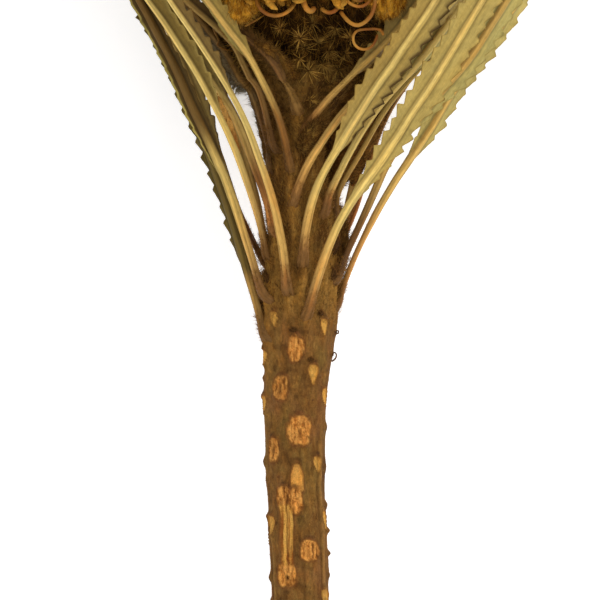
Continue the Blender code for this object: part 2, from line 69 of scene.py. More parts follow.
FREE_LEAVES = {
    "leaf_01": dict(face=-20, blade=27, width=0.62, course=[
        (-38, 308, 5), (-43, 326, 4.4), (-48.5, 344, 3.6), (-56, 368, 2.8),
        (-62, 387, 2.2), (-67, 401, 1.8), (-79, 431, 1.3), (-89, 454, 1),
        (-97, 472, 0.8), (-107, 492, 0.5), (-118, 518, 0.2), (-131, 545, 0),
        (-159, 598, -0.6), (-207, 690, -2), (-246, 790, -4), (-276, 890, -5)]),
    "leaf_02": dict(face=-70, blade=27, width=0.95, course=[
        (-36, 338, -4.5), (-46, 358, -5.5), (-57, 382, -7), (-68, 412, -8.5),
        (-81, 450, -10), (-97, 490, -11.5), (-119, 545, -14), (-146, 600, -16),
        (-186, 690, -20), (-223, 790, -25), (-250, 880, -28)]),
    "leaf_03": dict(face=-48, blade=33, width=1, course=[
        (-33, 345, 3), (-38, 370, 3.5), (-44, 392, 4.5), (-53, 418, 5.5),
        (-62, 445, 6.5), (-73, 470, 7.5), (-86, 497, 9), (-101, 525, 10.5),
        (-118, 552, 12), (-135, 578, 13.5), (-152, 600, 15), (-203, 680, 19),
        (-248, 770, 23), (-283, 870, 26)]),
    "leaf_04": dict(face=-52, blade=46, width=0.95, course=[
        (-13, 312, 8), (-15, 335, 8), (-18, 358, 8.2), (-22, 380, 8.6),
        (-29, 408, 9.2), (-38, 435, 10), (-46, 457, 11), (-55, 480, 12.5),
        (-65, 500, 14), (-76, 520, 16), (-88, 540, 18), (-100, 558, 20),
        (-115, 580, 22.5), (-130, 600, 25), (-178, 680, 33), (-220, 770, 39),
        (-254, 870, 43)]),
    "leaf_05": dict(face=-50, blade=30, width=0.95, course=[
        (-27, 372, 5.5), (-30, 392, 5), (-37.5, 412, 4.6), (-46.5, 435, 4.4),
        (-55.5, 460, 4.2), (-65, 483, 4.2), (-77, 503, 4.6), (-96, 530, 5.4),
        (-116, 562, 6.4), (-140, 600, 7.6), (-188, 680, 10), (-231, 770, 12),
        (-266, 870, 14)]),
    "leaf_06": dict(face=-15, blade=18, width=0.95, course=[
        (-27, 432, 1), (-30.5, 454, 0.8), (-36.5, 474, 0.6), (-42, 494, 0.3),
        (-49.5, 512, 0), (-59, 528, -0.3), (-72, 545, -0.8), (-85, 562, -1.3),
        (-99, 580, -1.9), (-115, 600, -2.5), (-162, 655, -4), (-204, 730, -6),
        (-238, 820, -8)]),
    "leaf_07": dict(face=-30, blade=27, width=0.95, course=[
        (-10, 432, 6), (-14, 456, 6.8), (-20, 480, 8), (-28, 500, 9.4),
        (-38, 520, 11.2), (-49, 540, 13.2), (-60, 556, 15), (-74, 574, 17),
        (-92, 598, 20), (-130, 648, 25), (-166, 710, 29), (-202, 790, 32),
        (-230, 875, 34)]),
    "leaf_08": dict(face=-35, blade=9, width=0.62, course=[
        (-4, 492, 8), (-12, 517, 10.5), (-26, 541, 13.2), (-43, 555, 13),
        (-60, 566, 12.2), (-76, 578, 11.4)]),
    "leaf_09": dict(face=-50, blade=24, width=0.9, course=[
        (-27, 455, 4), (-32, 478, 4.6), (-37, 499, 5.3), (-44, 520, 6.3),
        (-55, 542, 7.4), (-69, 560, 8.7), (-91, 580, 10.3), (-114, 600, 12),
        (-163, 655, 15), (-204, 728, 18), (-240, 820, 20)]),
    "leaf_10": dict(face=-105, blade=42, width=0.95, course=[
        (-25, 388, -5), (-33, 410, -6), (-43, 434, -7), (-53, 460, -8.5),
        (-64, 486, -10.5), (-79, 513, -13), (-104, 548, -16.5),
        (-130, 590, -20), (-172, 670, -26), (-205, 760, -31),
        (-228, 850, -34)]),
    "leaf_11": dict(face=24, blade=25, width=1, course=[
        (3, 340, 8), (4, 362, 7.9), (8, 385, 8), (13, 402, 8.4),
        (19.5, 420, 8.8), (28, 436, 9.6), (43, 460, 11.2), (56, 484, 13),
        (71, 505, 15.2), (86, 525, 17.4), (101, 547, 20), (116, 569, 22.4),
        (137, 600, 25.5), (182, 680, 32), (224, 770, 37), (257, 870, 40)]),
    "leaf_12": dict(face=28, blade=36, width=0.95, course=[
        (-7, 397, 6.8), (-2, 414, 6.7), (4, 427, 6.9), (10, 440, 7.2),
        (20, 455, 7.8), (31, 471, 8.6), (45, 489, 9.6), (62, 508, 10.9),
        (83, 531, 12.6), (108, 555, 14.4), (131, 576, 16.2), (155, 600, 18.2),
        (205, 665, 22), (248, 745, 26), (284, 835, 29)]),
    "leaf_13": dict(face=38, blade=18, width=0.95, course=[
        (2, 468, 6.2), (14, 484, 7.2), (30, 503, 8.8), (45, 518, 10.2),
        (59, 532, 11.4), (75, 546, 12.4), (91, 562, 13), (105, 580, 13),
        (119, 600, 13), (165, 668, 15), (206, 745, 17), (240, 835, 18)]),
    "leaf_14": dict(face=46, blade=34, width=0.95, course=[
        (22, 388, 4.3), (27, 402, 4.5), (35, 420, 4.8), (46, 440, 5.2),
        (57, 461, 5.9), (69, 480, 6.8), (84.5, 500, 7.8), (102, 520, 8.9),
        (120, 539, 10), (136, 560, 11.2), (150, 580, 12.2), (164, 600, 13.2),
        (214, 672, 16), (258, 755, 19), (294, 850, 21)]),
    "leaf_15": dict(face=12, blade=27, width=1.1, course=[
        (8, 288, 8.2), (12, 305, 8.2), (18, 325, 8.4), (25, 345, 8.8),
        (33, 365, 9.4), (41, 381, 10.2), (50.5, 397, 11.2), (62.5, 414, 12.4),
        (77, 434, 13.8), (90, 453, 15.2), (102.5, 472, 16.8), (115, 491, 18.4),
        (128, 511, 20.2), (141, 531, 22.2), (155, 554, 24), (168, 576, 26),
        (182, 600, 28), (230, 680, 34), (276, 770, 39), (318, 870, 43)]),
    "leaf_16": dict(face=20, blade=36, width=1, course=[
        (37, 322, 1.6), (42, 338, 1.6), (51, 358, 1.8), (62, 381, 2.2),
        (74, 407, 3), (83, 430, 4), (102, 461, 5.8), (127, 492, 7.6),
        (148, 516, 9), (168, 540, 10.6), (186, 567, 12), (204, 597, 13.6),
        (252, 680, 18), (295, 770, 22), (330, 865, 25)]),
    "leaf_17": dict(face=38, blade=36, width=1, course=[
        (37, 295, -1.5), (41, 310, -1.5), (46, 325, -1.8), (53, 342, -2.2),
        (66, 368, -2.8), (80.5, 395, -3.2), (96, 421, -3.4), (110, 442, -3.4),
        (123, 461, -3.2), (135, 479, -2.8), (147, 499, -2.2), (161, 520, -1.6),
        (176, 540, -1), (191, 560, -0.4), (205, 580, 0.2), (218, 600, 1),
        (266, 680, 3), (310, 770, 5), (348, 870, 7)]),
    "leaf_18": dict(face=100, blade=36, width=0.95, course=[
        (36, 350, -5), (43, 363, -5.8), (51, 380, -6.8), (57.5, 396, -7.8),
        (62, 412, -8.4), (66.5, 429, -9), (72.5, 450, -9.6),
        (79.5, 470, -10.2), (89, 490, -10.8), (101, 511, -11.4),
        (120, 538, -12), (149, 580, -13.4), (165, 600, -14.2),
        (216, 685, -19), (258, 780, -24), (288, 860, -27)]),
    "leaf_19": dict(face=62, blade=38, width=0.95, course=[
        (34, 378, 0.5), (32.5, 396, 0.5), (38, 412, 0.5), (49, 429, 0.5),
        (61, 448, 0.6), (72, 470, 0.9), (84, 490, 1.3), (99, 509, 1.8),
        (116, 528, 2.2), (137, 555, 3), (158, 578, 3.6), (174, 600, 4.2),
        (224, 666, 7), (266, 760, 9), (299, 855, 11)]),
    "leaf_26": dict(face=-30, blade=17, width=0.6, course=[
        (-36, 265, 3.9), (-39.5, 282, 3.3), (-44, 300, 2.4), (-50, 320, 1.4),
        (-56, 340, 0.5), (-61.5, 360, -0.3), (-67.5, 380, -1),
        (-74, 400, -1.5), (-80, 418, -1.9), (-88, 440, -2.3), (-97, 462, -2.6),
        (-106, 483, -2.9), (-113, 500, -3.2), (-130, 540, -4), (-160, 600, -5),
        (-205, 690, -8), (-244, 790, -11), (-272, 880, -13)]),
}
GROUND_LEAVES = {
    "leaf_20": dict(at=(-143, 58), blade=52, width=1.0, course=[
        (-8.0, 78, 10.5), (-12.0, 94, 5.5), (-18.0, 108, 1.6),
        (-26, 121, 0), (-37, 138, 0), (-48, 156, 0), (-58, 175, 0)]),
    "leaf_21": dict(at=(-162, 65), blade=50, width=0.95, course=[
        (-4.4, 84, 10.0), (-6.6, 100, 4.6), (-11.5, 114, 0.9),
        (-18, 127, 0), (-25, 143, 0), (-33, 161, 0), (-40, 181, 0)]),
    "leaf_22": dict(at=(-176, 76), blade=46, width=0.95, course=[
        (-1.8, 92, 10.0), (-3.4, 106, 4.0), (-7.5, 119, 0.5),
        (-11, 131, 0), (-15, 147, 0), (-19, 165, 0), (-21, 186, 0)]),
    "leaf_23": dict(at=(170, 62), blade=50, width=1.0, course=[
        (2.4, 82, 10.0), (4.0, 98, 4.2), (7.6, 111, 0.7),
        (12, 125, 0), (17, 142, 0), (21, 160, 0), (24, 180, 0)]),
    "leaf_24": dict(at=(155, 71), blade=48, width=0.95, course=[
        (5.4, 89, 10.0), (8.6, 104, 4.4), (15.0, 118, 0.8),
        (23, 131, 0), (31, 147, 0), (40, 165, 0), (47, 184, 0)]),
    "leaf_25": dict(at=(141, 57), blade=53, width=1.0, course=[
        (9.0, 77, 11.0), (13.0, 94, 5.6), (20.5, 109, 1.5),
        (31, 124, 0), (43, 141, 0), (55, 158, 0), (65, 175, 0)]),
}


def smooth_table(xs, ys, x):
    xs = np.asarray(xs, float)
    ys = np.asarray(ys, float)
    slope = np.gradient(ys, xs)
    x = np.clip(np.asarray(x, float), xs[0], xs[-1])
    i = np.clip(np.searchsorted(xs, x) - 1, 0, len(xs) - 2)
    h = xs[i + 1] - xs[i]
    t = (x - xs[i]) / h
    return ((1 + 2 * t) * (1 - t) ** 2 * ys[i] + t * (1 - t) ** 2 * h * slope[i]
            + t * t * (3 - 2 * t) * ys[i + 1]
            + t * t * (t - 1) * h * slope[i + 1])


_ST = np.array(STEM_FORM) * MM
_CT = np.array(CONE_FORM) * MM


def stem_radius(w):
    return smooth_table(_ST[:, 0], _ST[:, 1], w)


def stem_offset(w):
    return smooth_table(_ST[:, 0], _ST[:, 2], w)


def cone_radius(w):
    return np.where((w < _CT[0, 0]) | (w > _CT[-1, 0]), 0.0,
                    smooth_table(_CT[:, 0], _CT[:, 1], w))


def body_radius(w):
    return np.where(w < STEM_TOP, stem_radius(w), cone_radius(w))


def body_offset(w):
    return np.where(w < STEM_TOP, stem_offset(w), CONE_OFFSET)


def find_tilt():
    end = stem_radius(STEM_CUT) * math.cos(math.pi / STEM_SIDES)
    w = np.linspace(_CT[0, 0], _CT[-1, 0], 400)
    r = cone_radius(w)
    lo, hi = 0.0, 0.5
    for _ in range(60):
        a = (lo + hi) / 2
        lift = end * math.cos(a) - STEM_CUT * math.sin(a)
        low = np.min(lift + w * math.sin(a) - r * math.cos(a))
        if low < 0:
            lo = a
        else:
            hi = a
    return hi, end * math.cos(hi) - STEM_CUT * math.sin(hi)


TILT, LIFT = find_tilt()
CT_, ST_ = math.cos(TILT), math.sin(TILT)


def to_world(p):
    p = np.asarray(p, float)
    u, w, v = p[..., 0], p[..., 1], p[..., 2]
    return np.stack([u - CENTRE_X, w * CT_ - v * ST_ - CENTRE_Y,
                     w * ST_ + v * CT_ + LIFT], axis=-1)


def ground_height(w, clear):
    return (clear - LIFT - w * ST_) / CT_


def resample(q, step=None, count=None):
    seg = np.linalg.norm(np.diff(q, axis=0), axis=1)
    s = np.concatenate([[0], np.cumsum(seg)])
    n = count if count else int(s[-1] / step) + 1
    t = np.linspace(0, s[-1], n)
    return np.stack([np.interp(t, s, q[:, k]) for k in range(3)], axis=1)


def course_curve(points, step=0.0005, passes=60):
    p = np.asarray(points, float)
    ext = np.vstack([2 * p[0] - p[1], p, 2 * p[-1] - p[-2]])
    out = []
    for i in range(1, len(ext) - 2):
        a, b, c, d = ext[i - 1], ext[i], ext[i + 1], ext[i + 2]
        for t in np.linspace(0, 1, 16, endpoint=False):
            out.append(0.5 * (2 * b + (c - a) * t
                              + (2 * a - 5 * b + 4 * c - d) * t * t
                              + (3 * b - a - 3 * c + d) * t ** 3))
    out.append(p[-1])
    q = resample(np.array(out), step)
    for _ in range(passes):
        q[1:-1] += 0.5 * ((q[:-2] + q[2:]) / 2 - q[1:-1])
    return q


def keep_clear(q, thick):
    w = q[:, 1]
    off = body_offset(w)
    need = body_radius(w) + GAP + thick(w)
    du, dv = q[:, 0] - off, q[:, 2]
    r = np.hypot(du, dv)
    k = np.maximum(need / np.maximum(r, 1e-6), 1.0)
    q = q.copy()
    q[:, 0] = off + du * k
    q[:, 2] = dv * k
    return q


def leaf_course(name):
    ground = name in GROUND_LEAVES
    spec = GROUND_LEAVES[name] if ground else FREE_LEAVES[name]
    if ground:
        az, w0 = math.radians(spec["at"][0]), spec["at"][1] * MM
        r0 = float(stem_radius(w0)) + GAP + 0.6 * MM
        pts = [(float(stem_offset(w0)) + r0 * math.sin(az), w0,
                r0 * math.cos(az))]
        r1 = r0 + 1.6 * MM
        pts.append((float(stem_offset(w0)) + r1 * math.sin(az),
                    w0 + 8 * MM, r1 * math.cos(az)))
        for u, w, clear in spec["course"]:
            pts.append((u * MM, w * MM,
                        ground_height(w * MM, (clear + 0.45) * MM)))
    else:
        pts = [(a * GRID, b * GRID, v * MM) for a, b, v in spec["course"]]
    q = course_curve(pts)

    def thick(w):
        return np.where(w < STEM_TOP, 0.60 * MM, 2.2 * MM)

    for _ in range(3):
        q = keep_clear(q, thick)
        for _ in range(6):
            q[1:-1] += 0.5 * ((q[:-2] + q[2:]) / 2 - q[1:-1])
    return keep_clear(q, thick), spec, ground


def unit(a):
    return a / np.maximum(np.linalg.norm(a, axis=-1, keepdims=True), 1e-12)


def leaf_frames(q, s, spec, ground):
    tan = unit(np.gradient(q, axis=0))
    radial = unit(np.stack([q[:, 0] - body_offset(q[:, 1]), 0 * s, q[:, 2]], 1))
    if ground:
        face = np.array([0, -ST_, -CT_])
    else:
        s0, s1, deg = spec.get("twist", (30, 50, 0))
        a = np.radians(spec["face"] + deg * ramp(s, s0 * MM, s1 * MM))
        face = np.stack([np.sin(a), 0 * a, np.cos(a)], 1)
    k = np.clip(s / (spec["blade"] * MM), 0, 1)
    k = (k * k * (3 - 2 * k))[:, None]
    across = unit(np.cross(tan, radial * (1 - k) + face * k))
    return tan, across, np.cross(across, tan)


# =====================================================================
# Small tools: noise, colours, meshes, strands
# =====================================================================
def srgb(*c):
    c = np.asarray(c, float).reshape(-1, 3) / 255.0
    lin = np.where(c <= 0.04045, c / 12.92, ((c + 0.055) / 1.055) ** 2.4)
    return lin[0] if len(lin) == 1 else lin


def _hash(ix, iy, iz, seed):
    h = (ix.astype(np.uint32) * np.uint32(374761393)
         + iy.astype(np.uint32) * np.uint32(668265263)
         + iz.astype(np.uint32) * np.uint32(2147483647)
         + np.uint32(seed * 144269 % 4294967291))
    h = (h ^ (h >> np.uint32(13))) * np.uint32(1274126177)
    h = (h ^ (h >> np.uint32(15))) * np.uint32(2246822519)
    return ((h ^ (h >> np.uint32(16))) & np.uint32(0xFFFFFF)).astype(float) \
        / 0xFFFFFF


def noise(p, size, seed=0, octaves=1, gain=0.5):
    """Smooth noise, -1 to 1; size is one or three feature sizes."""
    p = np.asarray(p, float) / np.asarray(size, float)
    total, amp, norm = 0.0, 1.0, 0.0
    for o in range(octaves):
        q = p * 2.03 ** o + 17.3 * o
        i = np.floor(q).astype(np.int64)
        f = q - i
        f = f * f * (3 - 2 * f)
        acc = 0.0
        for dx in (0, 1):
            for dy in (0, 1):
                for dz in (0, 1):
                    wgt = ((f[..., 0] if dx else 1 - f[..., 0])
                           * (f[..., 1] if dy else 1 - f[..., 1])
                           * (f[..., 2] if dz else 1 - f[..., 2]))
                    acc = acc + wgt * _hash(i[..., 0] + dx + 100000,
                                            i[..., 1] + dy + 100000,
                                            i[..., 2] + dz + 100000, seed + o)
        total = total + amp * (acc * 2 - 1)
        norm += amp
        amp *= gain
    return total / norm


def ramp(x, a, b):
    t = np.clip((x - a) / (b - a), 0, 1)
    return t * t * (3 - 2 * t)


def mix(a, b, t):
    t = np.asarray(t)
    if t.ndim:
        t = t[..., None]
    return a * (1 - t) + b * t


def make_mesh(name, verts, faces, colours=None, vectors=None, floats=None,
              material=None, smooth=True):
    verts = np.ascontiguousarray(verts, np.float32).reshape(-1, 3)
    me = bpy.data.meshes.new(name)
    me.vertices.add(len(verts))
    me.vertices.foreach_set("co", verts.ravel())
    loops = np.concatenate([np.asarray(f, np.int32).ravel() for f in faces])
    sizes = np.concatenate([np.full(len(f), np.asarray(f).shape[1], np.int32)
                            for f in faces])
    starts = np.concatenate([[0], np.cumsum(sizes)[:-1]]).astype(np.int32)
    me.loops.add(len(loops))
    me.loops.foreach_set("vertex_index", loops)
    me.polygons.add(len(sizes))
    me.polygons.foreach_set("loop_start", starts)
    me.update(calc_edges=True)
    me.polygons.foreach_set("use_smooth",
                            np.full(len(sizes), bool(smooth), bool))
    if colours is not None:
        c = np.ones((len(verts), 4), np.float32)
        c[:, :3] = np.clip(colours, 0, 1)
        at = me.color_attributes.new("Col", "FLOAT_COLOR", "POINT")
        at.data.foreach_set("color", c.ravel())
    if vectors is not None:
        at = me.attributes.new("Loc", "FLOAT_VECTOR", "POINT")
        at.data.foreach_set("vector",
                            np.ascontiguousarray(vectors, np.float32).ravel())
    for key, val in (floats or {}).items():
        at = me.attributes.new(key, "FLOAT", "POINT")
        at.data.foreach_set("value", np.ascontiguousarray(val, np.float32))
    me.update()
    ob = bpy.data.objects.new(name, me)
    bpy.context.scene.collection.objects.link(ob)
    if material is not None:
        me.materials.append(material)
    return ob


def grid_faces(rows, cols, wrap=True, start=0):
    i = np.arange(rows - 1)[:, None]
    j = np.arange(cols if wrap else cols - 1)[None, :]
    k = (j + 1) % cols
    return (start + np.stack([i * cols + j, i * cols + k, (i + 1) * cols + k,
                              (i + 1) * cols + j], -1)).reshape(-1, 4)


def tubes(paths, radii, sides=3, flatten=None):
    """Closed tubes along many paths at once: (S,K,3) and (S,K)."""
    S, K, _ = paths.shape
    tan = unit(np.gradient(paths, axis=1))
    nrm = np.empty_like(tan)
    ref = np.where(np.abs(tan[:, 0, 2:3]) < 0.8, np.array([[0., 0., 1.]]),
                   np.array([[1., 0., 0.]]))
    nrm[:, 0] = unit(np.cross(tan[:, 0], ref))
    for k in range(1, K):
        n = nrm[:, k - 1]
        n = n - (n * tan[:, k]).sum(-1, keepdims=True) * tan[:, k]
        nrm[:, k] = unit(n)
    bi = np.cross(tan, nrm)
    a = 2 * np.pi * np.arange(sides) / sides
    ca, sa = np.cos(a)[None, None, :, None], np.sin(a)[None, None, :, None]
    if flatten is not None:
        sa = sa * flatten
    ring = paths[:, :, None, :] + radii[:, :, None, None] * (
        ca * nrm[:, :, None, :] + sa * bi[:, :, None, :])
    verts = ring.reshape(-1, 3)
    base = (np.arange(S) * K * sides)[:, None, None]
    i = np.arange(K - 1)[None, :, None]
    j = np.arange(sides)[None, None, :]
    k2 = (j + 1) % sides
    quads = np.stack([base + i * sides + j, base + i * sides + k2,
                      base + (i + 1) * sides + k2, base + (i + 1) * sides + j],
                     -1).reshape(-1, 4)
    b = np.arange(S)[:, None] * K * sides
    first = b + np.arange(sides)[::-1][None, :]
    last = b + (K - 1) * sides + np.arange(sides)[None, :]
    return verts, [quads, first, last]


def join_parts(parts):
    """Joins (verts, faces, colours) parts into one."""
    V, C, F, n = [], [], {}, 0
    for v, f, c in parts:
        for g in f:
            g = np.asarray(g)
            F.setdefault(g.shape[1], []).append(g + n)
        V.append(v)
        C.append(np.broadcast_to(c, v.shape) if np.ndim(c) < 2 else c)
        n += len(v)
    return (np.concatenate(V), [np.concatenate(g) for g in F.values()],
            np.concatenate(C))


def curl_paths(start, direction, bend_axis, length, steps, curve):
    """Paths grown step by step; curve(k, S) gives the turn per metre."""
    S = len(start)
    p = start.copy()
    d = unit(direction)
    ax = unit(bend_axis)
    out = [p.copy()]
    ds = (length / (steps - 1))[:, None]
    for k in range(1, steps):
        ang = curve((k - 0.5) / (steps - 1), S)[:, None] * ds
        c, s = np.cos(ang), np.sin(ang)
        d = unit(d * c + np.cross(ax, d) * s
                 + ax * (ax * d).sum(-1, keepdims=True) * (1 - c))
        p = p + d * ds
        out.append(p.copy())
    return np.stack(out, 1)


def keep_off_ground(world, clear=0.00006, soft=0.0012):
    """Presses anything that would pass below the ground flat on to it."""
    z = world[..., 2]
    x = (z - clear) / soft
    zz = np.where(x > 1, z, clear + soft * np.exp(np.minimum(x, 1) - 1)
                  * np.where(x > 1, 1, 1))
    world = world.copy()
    world[..., 2] = np.maximum(zz, clear)
    return world


# =====================================================================
# Materials
# =====================================================================
def organic(name, rough=0.7, grain=900.0, grain_amt=0.25, fine=4500.0,
            fine_amt=0.18, bump=0.00012, stretch=None, sheen=0.0,
            spec=0.3, hue=(1.12, 0.94, 0.78), specks=0.0):
    """Painted-in colour varied by node noise, with a matching fine relief."""
    mat = bpy.data.materials.new(name)
    mat.use_nodes = True
    nt = mat.node_tree
    N, L = nt.nodes, nt.links
    bs = N["Principled BSDF"]
    bs.inputs["Roughness"].default_value = rough
    bs.inputs["Specular IOR Level"].default_value = spec
    if sheen:
        bs.inputs["Sheen Weight"].default_value = sheen
        bs.inputs["Sheen Roughness"].default_value = 0.6
        bs.inputs["Sheen Tint"].default_value = (0.9, 0.75, 0.5, 1)
    col = N.new("ShaderNodeAttribute")
    col.attribute_name = "Col"
    if stretch is None:
        tc = N.new("ShaderNodeTexCoord")
        vec = tc.outputs["Object"]
    else:
        at = N.new("ShaderNodeAttribute")
        at.attribute_name = "Loc"
        mp = N.new("ShaderNodeMapping")
        mp.inputs["Scale"].default_value = stretch
        L.new(at.outputs["Vector"], mp.inputs["Vector"])
        vec = mp.outputs["Vector"]

    def tex(scale, detail, rgh=0.6):
        n = N.new("ShaderNodeTexNoise")
        n.inputs["Scale"].default_value = scale
        n.inputs["Detail"].default_value = detail
        n.inputs["Roughness"].default_value = rgh
        L.new(vec, n.inputs["Vector"])
        return n.outputs["Fac"]

    g, f = tex(grain, 4.0), tex(fine, 3.0, 0.7)

    def to_range(src, amt):
        m = N.new("ShaderNodeMapRange")
        m.inputs["From Min"].default_value = 0.25
        m.inputs["From Max"].default_value = 0.75
        m.inputs["To Min"].default_value = 1 - amt
        m.inputs["To Max"].default_value = 1 + amt
        L.new(src, m.inputs["Value"])
        return m.outputs["Result"]

    mul = N.new("ShaderNodeMath")
    mul.operation = "MULTIPLY"
    L.new(to_range(g, grain_amt), mul.inputs[0])
    L.new(to_range(f, fine_amt), mul.inputs[1])
    vm = N.new("ShaderNodeVectorMath")
    vm.operation = "SCALE"
    L.new(col.outputs["Color"], vm.inputs[0])
    L.new(mul.outputs["Value"], vm.inputs["Scale"])
    # a slow drift between a warmer and a greyer cast
    warm = N.new("ShaderNodeVectorMath")
    warm.operation = "MULTIPLY"
    warm.inputs[1].default_value = hue
    L.new(vm.outputs["Vector"], warm.inputs[0])
    drift = tex(grain * 0.35, 2.0)
    mr = N.new("ShaderNodeMapRange")
    mr.inputs["From Min"].default_value = 0.4
    mr.inputs["From Max"].default_value = 0.75
    L.new(drift, mr.inputs["Value"])
    mx = N.new("ShaderNodeMix")
    mx.data_type = "RGBA"
    L.new(mr.outputs["Result"], mx.inputs["Factor"])
    L.new(vm.outputs["Vector"], mx.inputs["A"])
    L.new(warm.outputs["Vector"], mx.inputs["B"])
    out = mx.outputs["Result"]
    if specks:
        vo = N.new("ShaderNodeTexVoronoi")
        vo.inputs["Scale"].default_value = grain * 0.55
        L.new(vec, vo.inputs["Vector"])
        sr = N.new("ShaderNodeMapRange")
        sr.inputs["From Min"].default_value = 0.06
        sr.inputs["From Max"].default_value = 0.14
        sr.inputs["To Min"].default_value = 1 - specks
        sr.inputs["To Max"].default_value = 1.0
        L.new(vo.outputs["Distance"], sr.inputs["Value"])
        sm = N.new("ShaderNodeVectorMath")
        sm.operation = "SCALE"
        L.new(out, sm.inputs[0])
        L.new(sr.outputs["Result"], sm.inputs["Scale"])
        out = sm.outputs["Vector"]
    L.new(out, bs.inputs["Base Color"])
    add = N.new("ShaderNodeMath")
    add.operation = "ADD"
    L.new(g, add.inputs[0])
    L.new(f, add.inputs[1])
    bp = N.new("ShaderNodeBump")
    bp.inputs["Strength"].default_value = 0.9
    bp.inputs["Distance"].default_value = bump
    L.new(add.outputs["Value"], bp.inputs["Height"])
    L.new(bp.outputs["Normal"], bs.inputs["Normal"])
    rr = N.new("ShaderNodeMapRange")
    rr.inputs["To Min"].default_value = max(0.0, rough - 0.10)
    rr.inputs["To Max"].default_value = min(1.0, rough + 0.12)
    L.new(g, rr.inputs["Value"])
    L.new(rr.outputs["Result"], bs.inputs["Roughness"])
    return mat


M_BARK = organic("bark", rough=0.92, grain=1900, grain_amt=0.34, fine=6500,
                 fine_amt=0.40, bump=0.00030, stretch=(1, 0.5, 1), spec=0.06,
                 hue=(1.12, 0.98, 0.80), specks=0.40)
M_LEAF = organic("leaf_dry", rough=0.66, grain=1500, grain_amt=0.15,
                 fine=5200, fine_amt=0.18, bump=0.00008,
                 stretch=(1, 0.14, 1), spec=0.16, hue=(1.05, 0.98, 0.84),
                 specks=0.22)
M_WOOL = organic("wool", rough=0.95, grain=1800, grain_amt=0.34, fine=6000,
                 fine_amt=0.34, bump=0.00025, spec=0.03,
                 hue=(1.12, 0.95, 0.72))
M_HAIR = organic("hair", rough=0.9, grain=1500, grain_amt=0.30, fine=5000,
                 fine_amt=0.1, bump=0.00002, spec=0.04,
                 hue=(1.10, 0.95, 0.80))
M_STYLE = organic("styles", rough=0.55, grain=1300, grain_amt=0.22, fine=6000,
                  fine_amt=0.12, bump=0.00004, spec=0.22,
                  hue=(1.14, 0.92, 0.68))

rng = np.random.default_rng(20)

# =====================================================================
# Leaves
# =====================================================================
# the dark and shaded palettes are partly the leaves' own colour and partly
# painted shade of leaves that lie behind others
# foot, stalk, midrib, blade underside, blade upper side
OLIVE = srgb(180, 156, 86)
PAL = {
    "bright": (srgb(150, 102, 52), srgb(208, 164, 88), srgb(216, 186, 106),
               OLIVE, srgb(96, 76, 34)),
    "orange": (srgb(138, 88, 40), srgb(196, 140, 70), srgb(204, 166, 88),
               srgb(182, 160, 92), srgb(100, 78, 36)),
    "dark": (srgb(104, 68, 33), srgb(138, 90, 43), srgb(162, 130, 66),
             srgb(132, 108, 52), srgb(84, 64, 28)),
    "deep": (srgb(140, 94, 48), srgb(206, 164, 90), srgb(208, 176, 98),
             srgb(86, 65, 25), srgb(78, 58, 22)),
    "turning": (srgb(84, 52, 24), srgb(112, 78, 36), srgb(196, 158, 84),
                srgb(182, 166, 98), srgb(110, 92, 44)),
    "rusty": (srgb(124, 78, 37), srgb(198, 130, 66), srgb(160, 112, 54),
              srgb(120, 92, 42), srgb(90, 68, 31)),
    "maroon": (srgb(214, 144, 72), srgb(144, 96, 46), srgb(202, 168, 92),
               srgb(120, 96, 46), srgb(96, 74, 34)),
    "shaded": (srgb(124, 86, 42), srgb(172, 134, 68), srgb(112, 92, 40),
               srgb(96, 80, 34), srgb(84, 66, 28)),
    "felted": (srgb(108, 76, 36), srgb(144, 104, 50), srgb(204, 166, 88),
               srgb(182, 160, 92), srgb(100, 78, 36)),
    "striped": (srgb(110, 74, 34), srgb(176, 138, 68), srgb(178, 148, 76),
                srgb(150, 126, 64), srgb(90, 70, 30)),
    "brown": (srgb(96, 62, 30), srgb(152, 112, 58), srgb(160, 128, 66),
              srgb(146, 122, 62), srgb(90, 70, 30)),
    "hairy": (srgb(84, 56, 24), srgb(118, 80, 38), srgb(142, 106, 52),
              srgb(92, 74, 38), srgb(78, 58, 26)),
    "ground": (srgb(90, 62, 32), srgb(150, 108, 58), srgb(182, 150, 84),
               srgb(158, 136, 78), srgb(110, 88, 46)),
}
DARK_EDGE = srgb(78, 58, 26)
PALE_EDGE = srgb(196, 178, 96)
